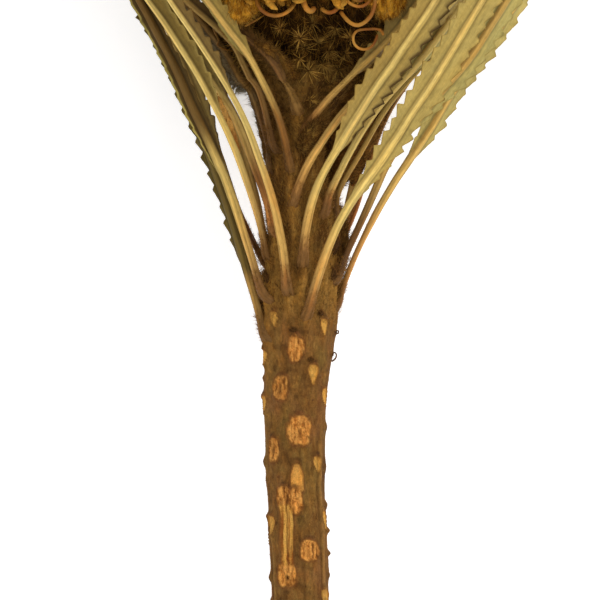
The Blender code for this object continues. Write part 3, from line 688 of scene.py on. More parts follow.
# ab gives the underside colour of the left and right halves; where one half is
# darker than the other, the darker colour is partly painted shade
LOOK = {
    "leaf_01": dict(pal="deep", fold=(4, 10), edge=(PALE_EDGE, None),
                    rib_end=9, grow=12, teeth=0.30, stalk=1.12),
    "leaf_02": dict(pal="dark", fold=(20, 30), edge=(None, DARK_EDGE)),
    "leaf_03": dict(pal="bright", fold=(52, 70), stalk=1.0, teeth=0.6,
                    ab=(srgb(110, 88, 38), srgb(120, 98, 44)),
                    edge=(DARK_EDGE, srgb(156, 134, 70))),
    "leaf_04": dict(pal="bright", fold=(58, 82), stalk=1.0,
                    ab=(srgb(150, 130, 66), srgb(112, 88, 42))),
    "leaf_05": dict(pal="maroon", fold=(52, 44), stalk=1.12, teeth=0.6,
                    ab=(srgb(106, 84, 38), srgb(122, 100, 48)),
                    edge=(DARK_EDGE, srgb(144, 122, 62))),
    "leaf_06": dict(pal="hairy", fold=(0, 60), downy=1.0, grow=6,
                    teeth=0.6, ab=(srgb(140, 122, 88), srgb(76, 56, 26))),
    "leaf_07": dict(pal="felted", fold=(48, 56), downy=0.25, stalk=0.92,
                    ab=(srgb(166, 148, 78), srgb(140, 118, 58))),
    "leaf_08": dict(pal="hairy", fold=(14, 14), downy=1.0, stalk=1.0,
                    grow=6, ab=(srgb(104, 74, 32), srgb(96, 66, 28))),
    "leaf_09": dict(pal="brown", fold=(60, 60), downy=0.5,
                    ab=(srgb(112, 90, 46), srgb(96, 72, 34))),
    "leaf_10": dict(pal="dark", fold=(30, 30)),
    "leaf_11": dict(pal="bright", fold=(6, 8), edge=(None, DARK_EDGE),
                    ab=(srgb(168, 140, 72), srgb(172, 146, 78)),
                    twist=(34, 50, -34), stalk=1.05, width=1.06),
    "leaf_12": dict(pal="bright", fold=(52, 40),
                    ab=(srgb(126, 102, 48), srgb(150, 126, 66))),
    "leaf_13": dict(pal="orange", fold=(30, 44), downy=0.4, stalk=0.84,
                    pet_end=18,
                    ab=(srgb(150, 126, 66), srgb(134, 108, 52))),
    "leaf_14": dict(pal="bright", fold=(46, 50), stalk=1.0,
                    twist=(32, 44, -38), pale_from=37, pet_end=12,
                    ab=(srgb(104, 82, 36), srgb(140, 116, 58)),
                    edge=(DARK_EDGE, DARK_EDGE)),
    "leaf_15": dict(pal="bright", fold=(4, 4), grow=30, stalk=1.05),
    "leaf_16": dict(pal="turning", fold=(6, 6), stalk=1.08),
    "leaf_17": dict(pal="orange", fold=(10, 8), stalk=1.05,
                    ab=(srgb(182, 164, 96), srgb(182, 164, 96))),
    "leaf_18": dict(pal="rusty", fold=(30, 30), grow=6),
    "leaf_19": dict(pal="striped", fold=(46, 50), pale_from=41,
                    twist=(36, 48, -30),
                    ab=(srgb(120, 94, 44), srgb(104, 78, 36))),
    "leaf_26": dict(pal="shaded", fold=(4, 40), grow=5, teeth=0.7,
                    stalk=1.14,
                    ab=(srgb(96, 80, 32), srgb(96, 80, 32)),
                    edge=(srgb(112, 94, 42), None)),
}
FEET = []            # where leaves leave the stem: (azimuth, w, name)
HAIRS = []           # (root, direction, normal, length, radius, colour)
FELT = srgb(118, 84, 42)


def margin(s, start, length, side, seed):
    """Toothed margin: 0 in the notches, 1 at the tips of the teeth."""
    r = np.random.default_rng(seed * 7 + (3 if side > 0 else 5))
    cuts = [start + r.uniform(0, 3) * MM]
    while cuts[-1] < length:
        cuts.append(cuts[-1] + r.uniform(3.0, 4.1) * MM)
    cuts = np.array(cuts)
    i = np.clip(np.searchsorted(cuts, s) - 1, 0, len(cuts) - 2)
    t = np.clip((s - cuts[i]) / (cuts[i + 1] - cuts[i]), 0, 1)
    rise = r.uniform(0.80, 0.90, len(cuts))[i]
    size = r.uniform(0.70, 1.15, len(cuts))[i]
    tilt = r.normal(0, 1, len(cuts))[i]
    up = (t / rise) ** 1.15
    down = 1 - (t - rise) / (1 - rise)
    tooth = np.where(s < cuts[0], 0, np.where(t < rise, up, down)) * size
    return tooth, tooth * tilt


def mix1(a, b, t):
    return a * (1 - t) + b * t


def build_leaf(name, index):
    q, spec, ground = leaf_course(name)
    look = LOOK.get(name, dict(pal="ground", fold=(10, 10)))
    spec = dict(spec)
    for key in ("face", "twist", "width", "blade"):
        if key in look:
            spec[key] = look[key]
    length0 = np.linalg.norm(np.diff(q, axis=0), axis=1).sum()
    FEET.append((math.atan2(q[0, 0] - float(stem_offset(q[0, 1])), q[0, 2]),
                 q[0, 1], name))
    # the foot sinks into the bark
    back = unit(q[0] - q[6])
    off = float(stem_offset(q[0, 1]))
    inward = unit(np.array([off - q[0, 0], 0, -q[0, 2]]))
    LEAD = 0.0022
    lead = [q[0] + back * d + inward * (0.0019 * (d / LEAD) ** 1.5)
            for d in np.linspace(LEAD, 0.0003, 7)]
    q = np.vstack([lead, q])
    for _ in range(8):
        q[1:14] += 0.5 * ((q[:13] + q[2:15]) / 2 - q[1:14])
    n = int(length0 / 0.00040)
    q = resample(q, count=n)
    s = np.concatenate([[0], np.cumsum(
        np.linalg.norm(np.diff(q, axis=0), axis=1))]) - LEAD
    length = s[-1]
    tan, across, under = leaf_frames(q, np.maximum(s, 0), spec, ground)
    seed = 100 + index
    r = np.random.default_rng(seed)
    z0 = 0 * s
    q = q + across * (0.16 * MM * ramp(s, 4 * MM, 12 * MM) * noise(
        np.stack([s, z0 + 0.3, z0], 1), 0.007, seed + 1, 2))[:, None]
    start = spec["blade"] * MM
    full = BLADE_HALF * spec["width"]
    grow = np.clip((s - start) / (look.get("grow", 14) * MM), 0, 1) ** 0.8
    tipk = np.clip((length - s) / TIP_LEN, 0, 1)
    round_tip = np.sqrt(1 - (1 - tipk) ** 2)
    is_blade = ramp(s, start * 0.86, start + 5 * MM)
    pet = PETIOLE_HALF * look.get("stalk", 0.95) * (
        1.0 - 0.11 * ramp(s, 0, start)
                          + 0.30 * np.exp(-(s / (3.0 * MM)) ** 2)
                          + 0.05 * noise(np.stack([s, z0, z0], 1), 0.005,
                                         seed + 2))
    core = np.maximum(pet * (1 - 0.52 * ramp(s, start, length)) * round_tip,
                      0.16 * MM)
    depth = 1.20 * MM * look.get("teeth", 1.0) * ramp(
        s, start, start + min(9, look.get("grow", 9)) * MM) * (
        0.35 + 0.65 * tipk)
    sides, flick = {}, {}
    for sd in (-1, 1):
        tooth, tl = margin(s, start, length, sd, seed)
        wide = core + (full - depth * 0.75 - core) * grow
        wide = np.maximum(wide * round_tip, core * 1.02)
        wob = 1 + 0.06 * noise(np.stack([s, z0, z0 + sd], 1), 0.011, seed)
        sides[sd] = wide * wob + depth * tooth * round_tip
        flick[sd] = tl
    # columns across: over the midrib, then out to the margin
    rib_f = np.array([0, .25, .45, .63, .80, .94, 1.10, 1.32])
    out_f = np.array([.16, .40, .64, .84, 1.0])
    cols = []
    for sd in (-1, 1):
        w_ = sides[sd]
        c = []
        for f in rib_f:
            stalk = w_ * (f / 1.32) * 0.90
            c.append(np.minimum(mix1(stalk, core * f, is_blade), w_ * 0.97))
        edge = c[-1]
        for f in out_f:
            c.append(edge + (w_ - edge) * f)
        cols.append(np.array(c))          # (13, n)
    left, right = cols
    x_ab = np.concatenate([-left[::-1], right[1:]])           # 25 columns
    half_at = np.concatenate([np.repeat(sides[-1][None], 12, 0),
                              np.repeat(sides[1][None], 13, 0)])
    flick_at = np.concatenate([np.repeat(flick[-1][None], 12, 0),
                               np.repeat(flick[1][None], 13, 0)])
    fl, fr = look["fold"]
    fold_at = np.radians(np.concatenate([np.full((12, 1), fl),
                                         np.full((13, 1), fr)]))
    fold_at = fold_at * ramp(s, start * 0.9, start + min(
        12, look.get("grow", 12)) * MM)[None] + 0.14 \
        * noise(np.stack([np.broadcast_to(s[None], x_ab.shape),
                          np.sign(x_ab) * 0.03, 0 * x_ab], -1), 0.014,
                seed + 4)
    rib_half = core[None] * 0.95
    dome = np.sqrt(np.clip(1 - (x_ab / half_at) ** 2, 0, 1))
    u_s = x_ab / half_at
    groove = np.exp(-((u_s - 0.52) / 0.13) ** 2) + np.exp(
        -((u_s + 0.55) / 0.13) ** 2)
    stalk_ab = pet[None] * (0.78 * dome - 0.16 * groove)
    stalk_ad = -pet[None] * 0.52 * dome + 0.22 * MM * np.exp(
        -(x_ab / (0.45 * MM)) ** 2)
    rib_h = (0.16 + 0.56 * (1 - 0.6 * ramp(s, start, length)))[None] * MM
    u_r = x_ab / core[None]
    prof = np.exp(-np.abs(u_r) ** 3.0) - 0.22 * np.exp(
        -((np.abs(u_r) - 1.12) / 0.22) ** 2)
    far = np.clip((np.abs(x_ab) - rib_half) / np.maximum(
        half_at - rib_half, 1e-6), 0, 1)
    sg = np.broadcast_to(s[None], x_ab.shape)
    wave = (0.34 * MM * noise(np.stack([
        sg, np.sign(x_ab) * 0.01, 0 * x_ab], -1), 0.0085, seed + 3)
        * far ** 1.3)
    ripple = 0.06 * MM * noise(np.stack([
        sg, x_ab * 0.6, 0 * x_ab], -1), 0.0011, seed + 5, 2) \
        * ramp(far, 0.05, .3)
    # side nerves run out to the teeth
    nerve = 0.045 * MM * np.sin((sg - 0.55 * np.abs(x_ab)) / 0.00118
                                * 2 * np.pi) * ramp(far, 0.02, 0.3)
    flickz = 0.26 * MM * flick_at * ramp(far, 0.62, 1.0) \
        * ramp(s, start + 4 * MM, start + 16 * MM)[None]
    lift = (wave + 0.16 * MM * ramp(far, 0.8, 1.0) + flickz) \
        * is_blade[None]
    blade_ab = 0.10 * MM + rib_h * prof * round_tip[None] + ripple + nerve
    blade_ad = -0.10 * MM - 0.10 * MM * np.exp(-np.abs(u_r) ** 3) \
        + (ripple + nerve) * 0.5 + 0.08 * MM * np.exp(
            -(x_ab / (0.3 * MM)) ** 2)
    ab = mix1(stalk_ab, blade_ab, is_blade[None]) + lift
    ad = mix1(stalk_ad, blade_ad, is_blade[None]) + lift
    over = np.maximum(np.abs(x_ab) - rib_half * 1.1, 0) * is_blade[None]
    shift_x = -np.sign(x_ab) * over * (1 - np.cos(fold_at))
    shift_z = -over * np.sin(fold_at)
    pick = [0, 1, 3, 5, 7, 9, 11, 12, 13, 15, 17, 19, 21, 23, 24]
    inn = pick[1:-1]
    ring_x = np.concatenate([x_ab, x_ab[inn][::-1]])
    ring_z = np.concatenate([ab, ad[inn][::-1]])
    sx = np.concatenate([shift_x, shift_x[inn][::-1]])
    sz = np.concatenate([shift_z, shift_z[inn][::-1]])
    on_top = np.concatenate([np.zeros(25), np.ones(len(inn))])
    K = ring_x.shape[0]
    P = (q[None] + across[None] * (ring_x + sx)[..., None]
         + under[None] * (ring_z + sz)[..., None])             # (K, n, 3)
    P = np.transpose(P, (1, 0, 2))                             # (n, K, 3)
    W = to_world(P)
    W[..., 2] = np.maximum(W[..., 2], 0.00004)
    X = ring_x.T
    S = np.broadcast_to(s[:, None], X.shape)
    ha = np.concatenate([half_at, half_at[inn][::-1]]).T
    far_r = np.clip((np.abs(X) - core[:, None] * 0.95) / np.maximum(
        ha - core[:, None] * 0.95, 1e-6), 0, 1)
    top = np.broadcast_to(on_top[None], X.shape)
    rightk = (X > 0).astype(float)
    # ---- colours
    c_foot, c_pet, c_rib, c_ab, c_ad = PAL[look["pal"]]
    ab_l, ab_r = look.get("ab", (c_ab, c_ab))
    nz = np.stack([S, X, top * 0.01], -1)
    streak = noise(nz, (0.014, 0.00026, 0.005), seed + 11, 2)
    blot = noise(nz, (0.009, 0.0030, 0.005), seed + 12, 3)
    small = noise(nz, (0.0010, 0.0006, 0.005), seed + 13, 2)
    foot_k = ramp(S + 0.0015 * blot, 0.0005, 0.011)
    pet_k = ramp(S + 0.004 * blot, *(
        (0.002, look["pet_end"] * MM) if "pet_end" in look
        else (0.010, start * 0.85)))
    rib_c = mix(mix(np.broadcast_to(c_foot, S.shape + (3,)), c_pet, foot_k),
                c_rib, pet_k)
    # reddish passages along the stalk
    rib_c = mix(rib_c, rib_c * np.array([1.02, 0.80, 0.62]), 0.65 * ramp(
        noise(np.stack([S, X * 3, 0 * S], -1), (0.011, 0.003, 1), seed + 14,
              2), 0.0, 0.5) * (1 - 0.6 * pet_k))
    hw = mix1(ha, core[:, None] * 1.0, is_blade[:, None])
    u = X / hw
    # painted shade on the rounded stalk and midrib: darker towards both flanks
    # and along two lines in its grooves, with a painted highlight along its
    # ridge
    painted_flank_shade = 1 - 0.40 * np.clip(np.abs(u), 0, 1) ** 2.6
    n1 = 0.5 + 0.5 * noise(np.stack([S, 0 * S, 0 * S], -1), 0.008, seed + 15)
    painted_groove_shade_r = np.exp(-((u - 0.50) / 0.13) ** 2) * (0.3 + 0.7 * n1)
    painted_groove_shade_l = np.exp(-((u + 0.56) / 0.12) ** 2) * (0.3 + 0.7 * (1 - n1))
    painted_ridge_highlight = np.exp(-((u + 0.08) / 0.26) ** 2)
    rib_c = rib_c * (painted_flank_shade * (1 - 0.42 * painted_groove_shade_r - 0.34 * painted_groove_shade_l)
                     * (1 + 0.13 * painted_ridge_highlight) * (1 + 0.20 * streak
                                             + 0.08 * small))[..., None]
    if "rib_end" in look:
        e = start + look["rib_end"] * MM
        rib_c = mix(rib_c, c_ab * np.array([1.25, 1.0, 0.8]),
                    0.9 * ramp(S, e - 0.008, e + 0.004))
    fade = ramp(S, start + 0.02, length)
    ab_c = mix(np.broadcast_to(ab_l, S.shape + (3,)), ab_r, rightk)
    if "pale_from" in look:
        pf = ramp(S, (look["pale_from"] - 5) * MM,
                  (look["pale_from"] + 3) * MM)
        ab_c = mix(ab_c, srgb(182, 166, 98), pf)
        rib_c = mix(rib_c, rib_c / np.maximum(rib_c.mean(-1, keepdims=True),
                                              1e-4) * 0.42, pf * 0.6)
    # away from the middle of the plant every leaf turns paler again, to its
    # palette's colour; the darker given colours nearer the middle are partly
    # painted shade of leaves lying among and behind others
    ab_c = mix(ab_c, c_ab, 0.6 * ramp(S, start + 0.035, start + 0.075))
    blade_c = mix(ab_c, c_ad, top)
    nerve_c = np.sin((S - 0.55 * np.abs(X)) / 0.00118 * 2 * np.pi)
    blade_c = blade_c * (1 + 0.13 * blot + 0.11 * small + 0.035 * nerve_c
                         + 0.07 * streak)[..., None]
    blade_c = mix(blade_c, blade_c * np.array([1.10, 0.96, 0.66]),
                  0.5 * fade * ramp(blot, -0.2, 0.5))
    # brown teeth, with a thin pale or dark rim
    edge_k = ramp(far_r, 0.84, 1.0) * is_blade[:, None]
    blade_c = mix(blade_c, blade_c * np.array([0.90, 0.78, 0.60]),
                  edge_k * 0.8)
    el, er = look.get("edge", (None, None))
    if el is not None:
        blade_c = mix(blade_c, el, ramp(far_r, 0.62, 0.80)
                      * (1 - rightk) * is_blade[:, None] * 0.9)
    if er is not None:
        blade_c = mix(blade_c, er, ramp(far_r, 0.62, 0.80)
                      * rightk * is_blade[:, None] * 0.9)
    # a dark line in the crease beside the midrib on the underside: painted
    # shade
    rib_crease_shade = np.exp(-((np.abs(X) - core[:, None] * 1.15)
                      / (0.00022)) ** 2) * is_blade[:, None] * (1 - top)
    blade_c = blade_c * (1 - 0.42 * rib_crease_shade)[..., None]
    is_rib = np.where(top > 0.5, 0.30, 1.0) * (
        1 - ramp(np.abs(X), core[:, None] * 0.86, core[:, None] * 1.02))
    k = np.maximum(is_rib, 1 - is_blade[:, None])
    col = mix(blade_c, rib_c, k)
    spots = ramp(noise(nz, (0.0013, 0.0008, 0.01), seed + 21, 1), 0.74, 0.9)
    col = col * (1 - 0.10 * spots)[..., None]
    felt_k = 1 - ramp(S + 0.0012 * small, 0.000, 0.0045)
    col = mix(col, FELT * (1 + 0.3 * small)[..., None], 0.85 * felt_k)
    downy = look.get("downy", 0)
    if downy:
        patch = ramp(noise(nz, (0.005, 0.0020, 0.01), seed + 22, 2),
                     0.05, 0.5)
        col = mix(col, srgb(136, 118, 88) if name == "leaf_06"
                  else srgb(132, 100, 50), 0.35 * downy * patch)
    col = np.clip(col, 0.002, 0.95)
    V = W.reshape(-1, 3)
    faces = [grid_faces(n, K)[:, ::-1]]
    V = np.vstack([V, W[0].mean(0), W[-1].mean(0)])
    a, b = n * K, n * K + 1
    j = np.arange(K)
    f0 = np.stack([np.full(K, a), (j + 1) % K, j], 1)[:, ::-1]
    f1 = np.stack([np.full(K, b), (n - 1) * K + j, (n - 1) * K + (j + 1) % K],
                  1)[:, ::-1]
    C = np.vstack([col.reshape(-1, 3), col[0].mean(0), col[-1].mean(0)])
    Loc = np.stack([X + index * 0.05, S, ring_z.T], -1).reshape(-1, 3)
    Loc = np.vstack([Loc, Loc[:2]])
    ob = make_mesh(name + "_blade", V, faces + [f0, f1], C, Loc,
                   material=M_LEAF)
    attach(ob, "root")
    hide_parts(name)

    # ---- felt on the foot of the stalk, and down on the downy leaves
    def grow_hair(count, s_lo, s_hi, long, thick, colour, spread, lay,
                  edge=0, vary=0.35):
        si = r.uniform(s_lo, s_hi, count)
        fi = np.clip(np.searchsorted(s, si), 0, n - 1)
        if edge:
            sd = np.where(r.random(count) < 0.5, -1, 1) if abs(edge) > 1 \
                else np.full(count, edge)
            h = np.where(sd < 0, sides[-1][fi], sides[1][fi])
            ph = np.radians(np.where(sd < 0, fl, fr)) * ramp(
                si, start * 0.9, start + 14 * MM)
            out = across[fi] * (sd * np.cos(ph))[:, None] \
                - under[fi] * np.sin(ph)[:, None]
            base = q[fi] + out * (h * r.uniform(0.55, 1.0, count))[:, None] \
                + under[fi] * 0.0001
            nrm = out + under[fi] * r.uniform(0, 0.5, (count, 1))
        else:
            ph = r.uniform(0, 2 * np.pi, count)
            h = np.minimum(sides[-1][fi], 1.3 * MM)
            nrm = across[fi] * np.cos(ph)[:, None] \
                + under[fi] * np.sin(ph)[:, None]
            base = q[fi] + across[fi] * (np.cos(ph) * h * 0.85)[:, None] \
                + under[fi] * (np.sin(ph) * pet[fi] * 0.55)[:, None]
        d = unit(nrm) * r.uniform(0.35, 1.0, (count, 1)) + tan[fi] * lay \
            + r.normal(0, spread, (count, 3))
        ln = long * r.uniform(0.5, 1.25, count)
        cc = colour * r.uniform(1 - vary, 1 + vary, (count, 1))
        HAIRS.append((base, unit(d), unit(nrm), ln,
                      np.full(count, thick), cc))

    felt = srgb(138, 100, 50)
    if not ground:
        grow_hair(380, -0.0015, 0.005, 0.0012, 0.000045, felt, 0.25, 0.6)
        grow_hair(180, 0.004, 0.011, 0.0006, 0.00004, felt, 0.25, 0.9)
        grow_hair(50, 0.010, 0.022, 0.0004, 0.000035, felt, 0.25, 0.9)
    else:
        grow_hair(90, -0.001, 0.010, 0.0010, 0.000035, felt, 0.25, 0.7)
    if downy > 0.5:
        grow_hair(700, 0.002, min(length, 0.045), 0.0017, 0.000045,
                  srgb(112, 84, 44), 0.35, 0.5)
        grow_hair(600, 0.006, min(length, 0.060), 0.0018, 0.00005,
                  srgb(140, 118, 78) if name == "leaf_06"
                  else srgb(120, 88, 40), 0.30, 0.5, edge=2)
    elif downy:
        grow_hair(260, 0.002, 0.028, 0.0011, 0.000035,
                  srgb(128, 92, 46), 0.3, 0.6)
    if name == "leaf_06":
        grow_hair(1400, 0.019, 0.042, 0.0020, 0.00005,
                  srgb(132, 120, 92), 0.10, -0.35, edge=-1)
        grow_hair(500, 0.018, 0.025, 0.0013, 0.00005,
                  srgb(178, 168, 146), 0.20, -0.5, edge=-1)
    return ob


for _i, _n in enumerate([*FREE_LEAVES, *GROUND_LEAVES]):
    build_leaf(_n, _i)

# =====================================================================
# Stem
# =====================================================================
# leaf scars that face up: across, along, width, height on the drawing grid
SCARS = [
    (-4, 252, 15, 27, "fibre"), (13, 226, 9.5, 21, "kite"),
    (-19, 212, 15, 25, "rough"), (-1, 170, 23, 31, "fibre"),
    (-24.5, 281, 6.5, 16, "kite"), (24, 273, 6.5, 18, "kite"),
    (-32, 243, 5.5, 15, "kite"), (24, 203, 5, 19, "kite"),
    (-35, 196, 4.5, 18, "kite"), (-26, 150, 10, 25, "rough"),
    (17, 136, 7, 17, "kite"), (-3, 122, 13, 33, "smooth"),
    (-15.5, 103, 15, 23, "fibre"), (-4, 99, 13, 26, "fibre"),
    (9.5, 50, 18, 21, "fibre"), (-28, 75, 6.5, 20, "kite"),
    (24, 80, 4.5, 20, "kite"), (25, 3, 7, 17, "kite"),
    (-13.5, 27, 18, 27, "fibre"),
]
STRIP = (-13.5, 33, 93, 14)          # across, low, high, width


def build_stem():
    ws = np.concatenate([
        np.linspace(STEM_CUT, 0, 110, endpoint=False),
        np.linspace(0, 66 * MM, 290, endpoint=False),
        np.linspace(66 * MM, 113 * MM, 132)])
    n, K = len(ws), 168
    ang = np.linspace(-np.pi, np.pi, K, endpoint=False)
    w = np.broadcast_to(ws[:, None], (n, K))
    th = np.broadcast_to(ang[None], (n, K))
    r0, off = stem_radius(ws)[:, None], stem_offset(ws)[:, None]
    base = np.stack([off + r0 * np.sin(th), w, r0 * np.cos(th)], -1)
    arc = th * r0                       # distance round the stem
    # ---- places of the scars
    scars = []
    for a, b, ww, hh, kind in SCARS:
        wc = b * GRID
        rr, oo = float(stem_radius(wc)), float(stem_offset(wc))
        sx = np.clip((a * GRID - oo) / rr, -0.97, 0.97)
        az = math.asin(sx)
        squash = max(0.35, math.cos(az))
        scars.append((az, wc, ww * GRID / squash, hh * GRID, kind))
    r = np.random.default_rng(5)
    k = 0
    while len(scars) < 62 and k < 900:
        k += 1
        az = (k * 2.39996 + r.normal(0, 0.15) + np.pi) % (2 * np.pi) - np.pi
        wc = STEM_CUT + 3 * MM + (k * 0.37 % 1.0) * 108 * MM
        if wc > 60 * MM:
            continue
        rr = float(stem_radius(wc))
        if wc > -1 * MM and abs(az) < 1.80:
            continue
        if any(abs(((az - s_[0] + np.pi) % (2 * np.pi) - np.pi) * rr)
               < (s_[2] * 0.5 + 2.2 * MM) and abs(wc - s_[1])
               < (s_[3] * 0.5 + 3.4 * MM) for s_ in scars):
            continue
        kind = ["kite", "fibre", "kite", "rough"][int(r.integers(4))]
        sz = {"kite": (2.2, 4.2), "fibre": (3.6, 5.6), "rough": (3.0, 4.8)}[
            kind]
        scars.append((az, wc, sz[0] * MM * r.uniform(.8, 1.15),
                      sz[1] * MM * r.uniform(.8, 1.15), kind))
    d = np.zeros((n, K))
    # ---- bark: long ridges, lumps, fine crust
    nz = np.stack([base[..., 0], w, base[..., 2]], -1)
    felt = ramp(w, 55 * MM, 66 * MM)
    ridges = noise(nz, (0.0017, 0.030, 0.0017), 31, 2)
    lumps = noise(nz, (0.004, 0.007, 0.004), 32, 2)
    crust = noise(nz, (0.0007, 0.0013, 0.0007), 33, 3)
    d += (0.16 * ridges + 0.16 * lumps + 0.075 * crust) * MM
    strands = noise(nz, (0.0006, 0.006, 0.0006), 34, 2)
    d += felt * (0.22 * strands + 0.12 * noise(
        nz, (0.0012, 0.0030, 0.0012), 35, 2)) * MM
    knobs = np.zeros((n, K))
    for side, b, high, long in (
            (-1, 260, .70, 1.7), (-1, 243, .35, 1.2), (-1, 222, .40, 1.0),
            (-1, 205, .35, 1.4), (-1, 138, .65, 1.9), (-1, 120, .30, 2.6),
            (-1, 84, .55, 1.1), (-1, 23, .60, 1.5), (1, 267, .5, 1.2),
            (1, 246, .45, 1.0), (1, 172, .50, 2.0), (1, 133, .3, 2.4),
            (1, 95, .70, 1.3), (1, 70, .65, 1.1), (1, 47, .80, 1.0),
            (1, 25, .40, 1.6)):
        g = np.exp(-((np.abs(th) * np.where(th * side > 0, 1, 9) - 1.52)
                     * r0 / (1.5 * MM)) ** 2
                   - ((w - b * GRID) / (long * MM * 0.62)) ** 2)
        knobs = np.maximum(knobs, g)
        d += high * 0.9 * g * MM * (1 + 0.5 * crust)
    # ---- colour of the bark
    mid = srgb(118, 82, 40)
    dark = srgb(80, 52, 23)
    light = srgb(152, 116, 58)
    pink = srgb(126, 84, 48)
    olive = srgb(114, 92, 42)
    c = np.broadcast_to(mid, (n, K, 3)).copy()
    big = noise(nz, (0.006, 0.014, 0.006), 41, 3)
    c = mix(c, dark, 0.60 * ramp(big, 0.05, 0.6))
    c = mix(c, light, 0.40 * ramp(-big, 0.15, 0.7))
    mott = noise(nz, (0.0010, 0.0016, 0.0010), 46, 2)
    c = mix(c, dark * 0.9, 0.55 * ramp(mott, 0.15, 0.55))
    c = mix(c, light, 0.35 * ramp(-mott, 0.25, 0.6))
    c = mix(c, pink, 0.55 * ramp(noise(nz, (0.004, 0.006, 0.004), 42, 2),
                                 0.15, 0.6))
    c = mix(c, olive, 0.45 * ramp(noise(nz, (0.005, 0.012, 0.005), 43, 2),
                                  0.15, 0.6))
    c = c * (1 + 0.30 * noise(nz, (0.0005, 0.0022, 0.0005), 44, 3)
             + 0.18 * crust)[..., None]
    c = mix(c, light * 0.95, 0.5 * ramp(ridges, 0.25, 0.7))
    c = mix(c, srgb(84, 56, 28), 0.6 * knobs)
    # felt of the neck
    c_felt = mix(np.broadcast_to(srgb(142, 104, 47), (n, K, 3)),
                 srgb(92, 62, 26), ramp(noise(
                     nz, (0.0024, 0.007, 0.0024), 45, 2), 0.0, 0.5))
    c_felt = mix(c_felt, srgb(168, 128, 66), ramp(strands, 0.15, 0.7) * 0.7)
    c = mix(c, c_felt, felt)
    # darker towards the cone: painted shade under the cone
    c = mix(c, c * 0.62, ramp(w, 92 * MM, 106 * MM))
    # ---- ridges that run down from the leaf feet
    for az, wf, _name in FEET:
        da = ((th - az + np.pi) % (2 * np.pi) - np.pi) * r0
        below = ramp(w, wf - 15 * MM, wf - 2 * MM) * (
            1 - ramp(w, wf + 0.5 * MM, wf + 5 * MM))
        d += 1.05 * MM * np.exp(-(da / (1.15 * MM)) ** 2) * below
        c = mix(c, c * np.array([1.18, 1.12, 1.0]),
                np.exp(-(da / (0.9 * MM)) ** 2) * below * 0.8)
    # ---- scars
    y_kite, y_kite2 = srgb(208, 156, 74), srgb(180, 128, 58)
    o_fib, o_fib2 = srgb(222, 156, 78), srgb(160, 100, 44)
    for m, (az, wc, ww, hh, kind) in enumerate(scars):
        rr = float(stem_radius(wc))
        dx = ((th - az + np.pi) % (2 * np.pi) - np.pi) * rr
        dy = w - wc
        near = (np.abs(dx) < ww * 2 + 2 * MM) & (np.abs(dy) < hh * 2.2)
        if not near.any():
            continue
        wob = noise(np.stack([dx, dy, dx * 0 + m], -1), 0.0011, 50 + m, 2)
        ex, ey = dx / (ww / 2), dy / (hh / 2)
        if kind == "kite":
            # pointed below, squarer above
            low_y = np.clip((0.35 - ey) / 1.35, 0, 1)
            e = np.abs(ex + 0.12 * ey) / np.clip(
                1.05 - 0.86 * low_y ** 1.25
                - 0.30 * np.clip(ey - 0.45, 0, 1), .16, 2)
            rad = np.maximum(e, np.abs(ey)) * 0.72 + 0.28 * np.hypot(e, ey)
        elif kind == "smooth":
            rad = np.hypot(ex * (1 + 0.25 * ey), ey) * 1.02
        else:
            rad = (np.abs(ex) ** 2.6 + np.abs(ey) ** 2.6) ** (1 / 2.6)
        rad = rad + wob * (0.10 if kind in ("kite", "smooth") else 0.20)
        inside = 1 - ramp(rad, 0.86, 1.02)
        cushion = np.exp(-np.clip(rad - 0.7, 0, 9) ** 2 / 0.28)
        shelf = np.exp(-((ey + 1.0) / 0.9) ** 2 - (ex / 1.2) ** 2)
        d += (0.34 * cushion + 0.22 * shelf) * MM
        rim = np.exp(-((rad - 1.06) / 0.11) ** 2)
        d += 0.13 * rim * MM
        d -= inside * (0.26 if kind == "kite" else 0.20) * MM
        # a dark bud tuft just above
        tuft = np.exp(-((dy - hh * 0.5 - 0.55 * MM) / (0.50 * MM)) ** 2
                      - (dx / (0.95 * MM)) ** 2) * (1 - inside)
        d += 0.26 * tuft * (1 + 0.8 * wob) * MM
        c = mix(c, srgb(70, 40, 24), 0.70 * tuft)
        c = mix(c, srgb(120, 74, 38), 0.6 * rim * (1 - inside))
        fine = noise(np.stack([dx, dy, dx * 0 + m], -1),
                     (0.00030, 0.0013, 1), 90 + m, 2)
        if kind in ("kite", "smooth"):
            cc = mix(np.broadcast_to(y_kite, dx.shape + (3,)), y_kite2,
                     ramp(rad, 0.3, 1.0))
            if kind == "smooth":
                cc = mix(cc, o_fib, 0.45)
            cc = cc * (1 + 0.10 * fine)[..., None]
            d += inside * 0.03 * fine * MM
        else:
            crack = ramp(np.abs(fine), 0.0, 0.16)
            pits = ramp(noise(np.stack([dx, dy, dx * 0 + m], -1),
                              (0.0004, 0.0013, 1), 130 + m, 1), 0.42, 0.75)
            cc = mix(np.broadcast_to(o_fib2, dx.shape + (3,)), o_fib,
                     crack * (0.35 + 0.65 * ramp(fine, -0.6, 0.5)))
            cc = mix(cc, srgb(100, 58, 26), 0.75 * pits)
            d += inside * (0.16 * fine - 0.20 * (1 - crack) - 0.22 * pits) \
                * MM
            if kind == "rough":
                hole = np.exp(-((dx + 0.2 * MM) / (0.42 * MM)) ** 2
                              - ((dy + 0.2 * MM) / (1.2 * MM)) ** 2)
                cc = mix(cc, srgb(84, 48, 22), 0.75 * hole)
                cc = mix(cc, c, 0.15)
                d -= 0.35 * hole * inside * MM
        c = mix(c, cc, inside)
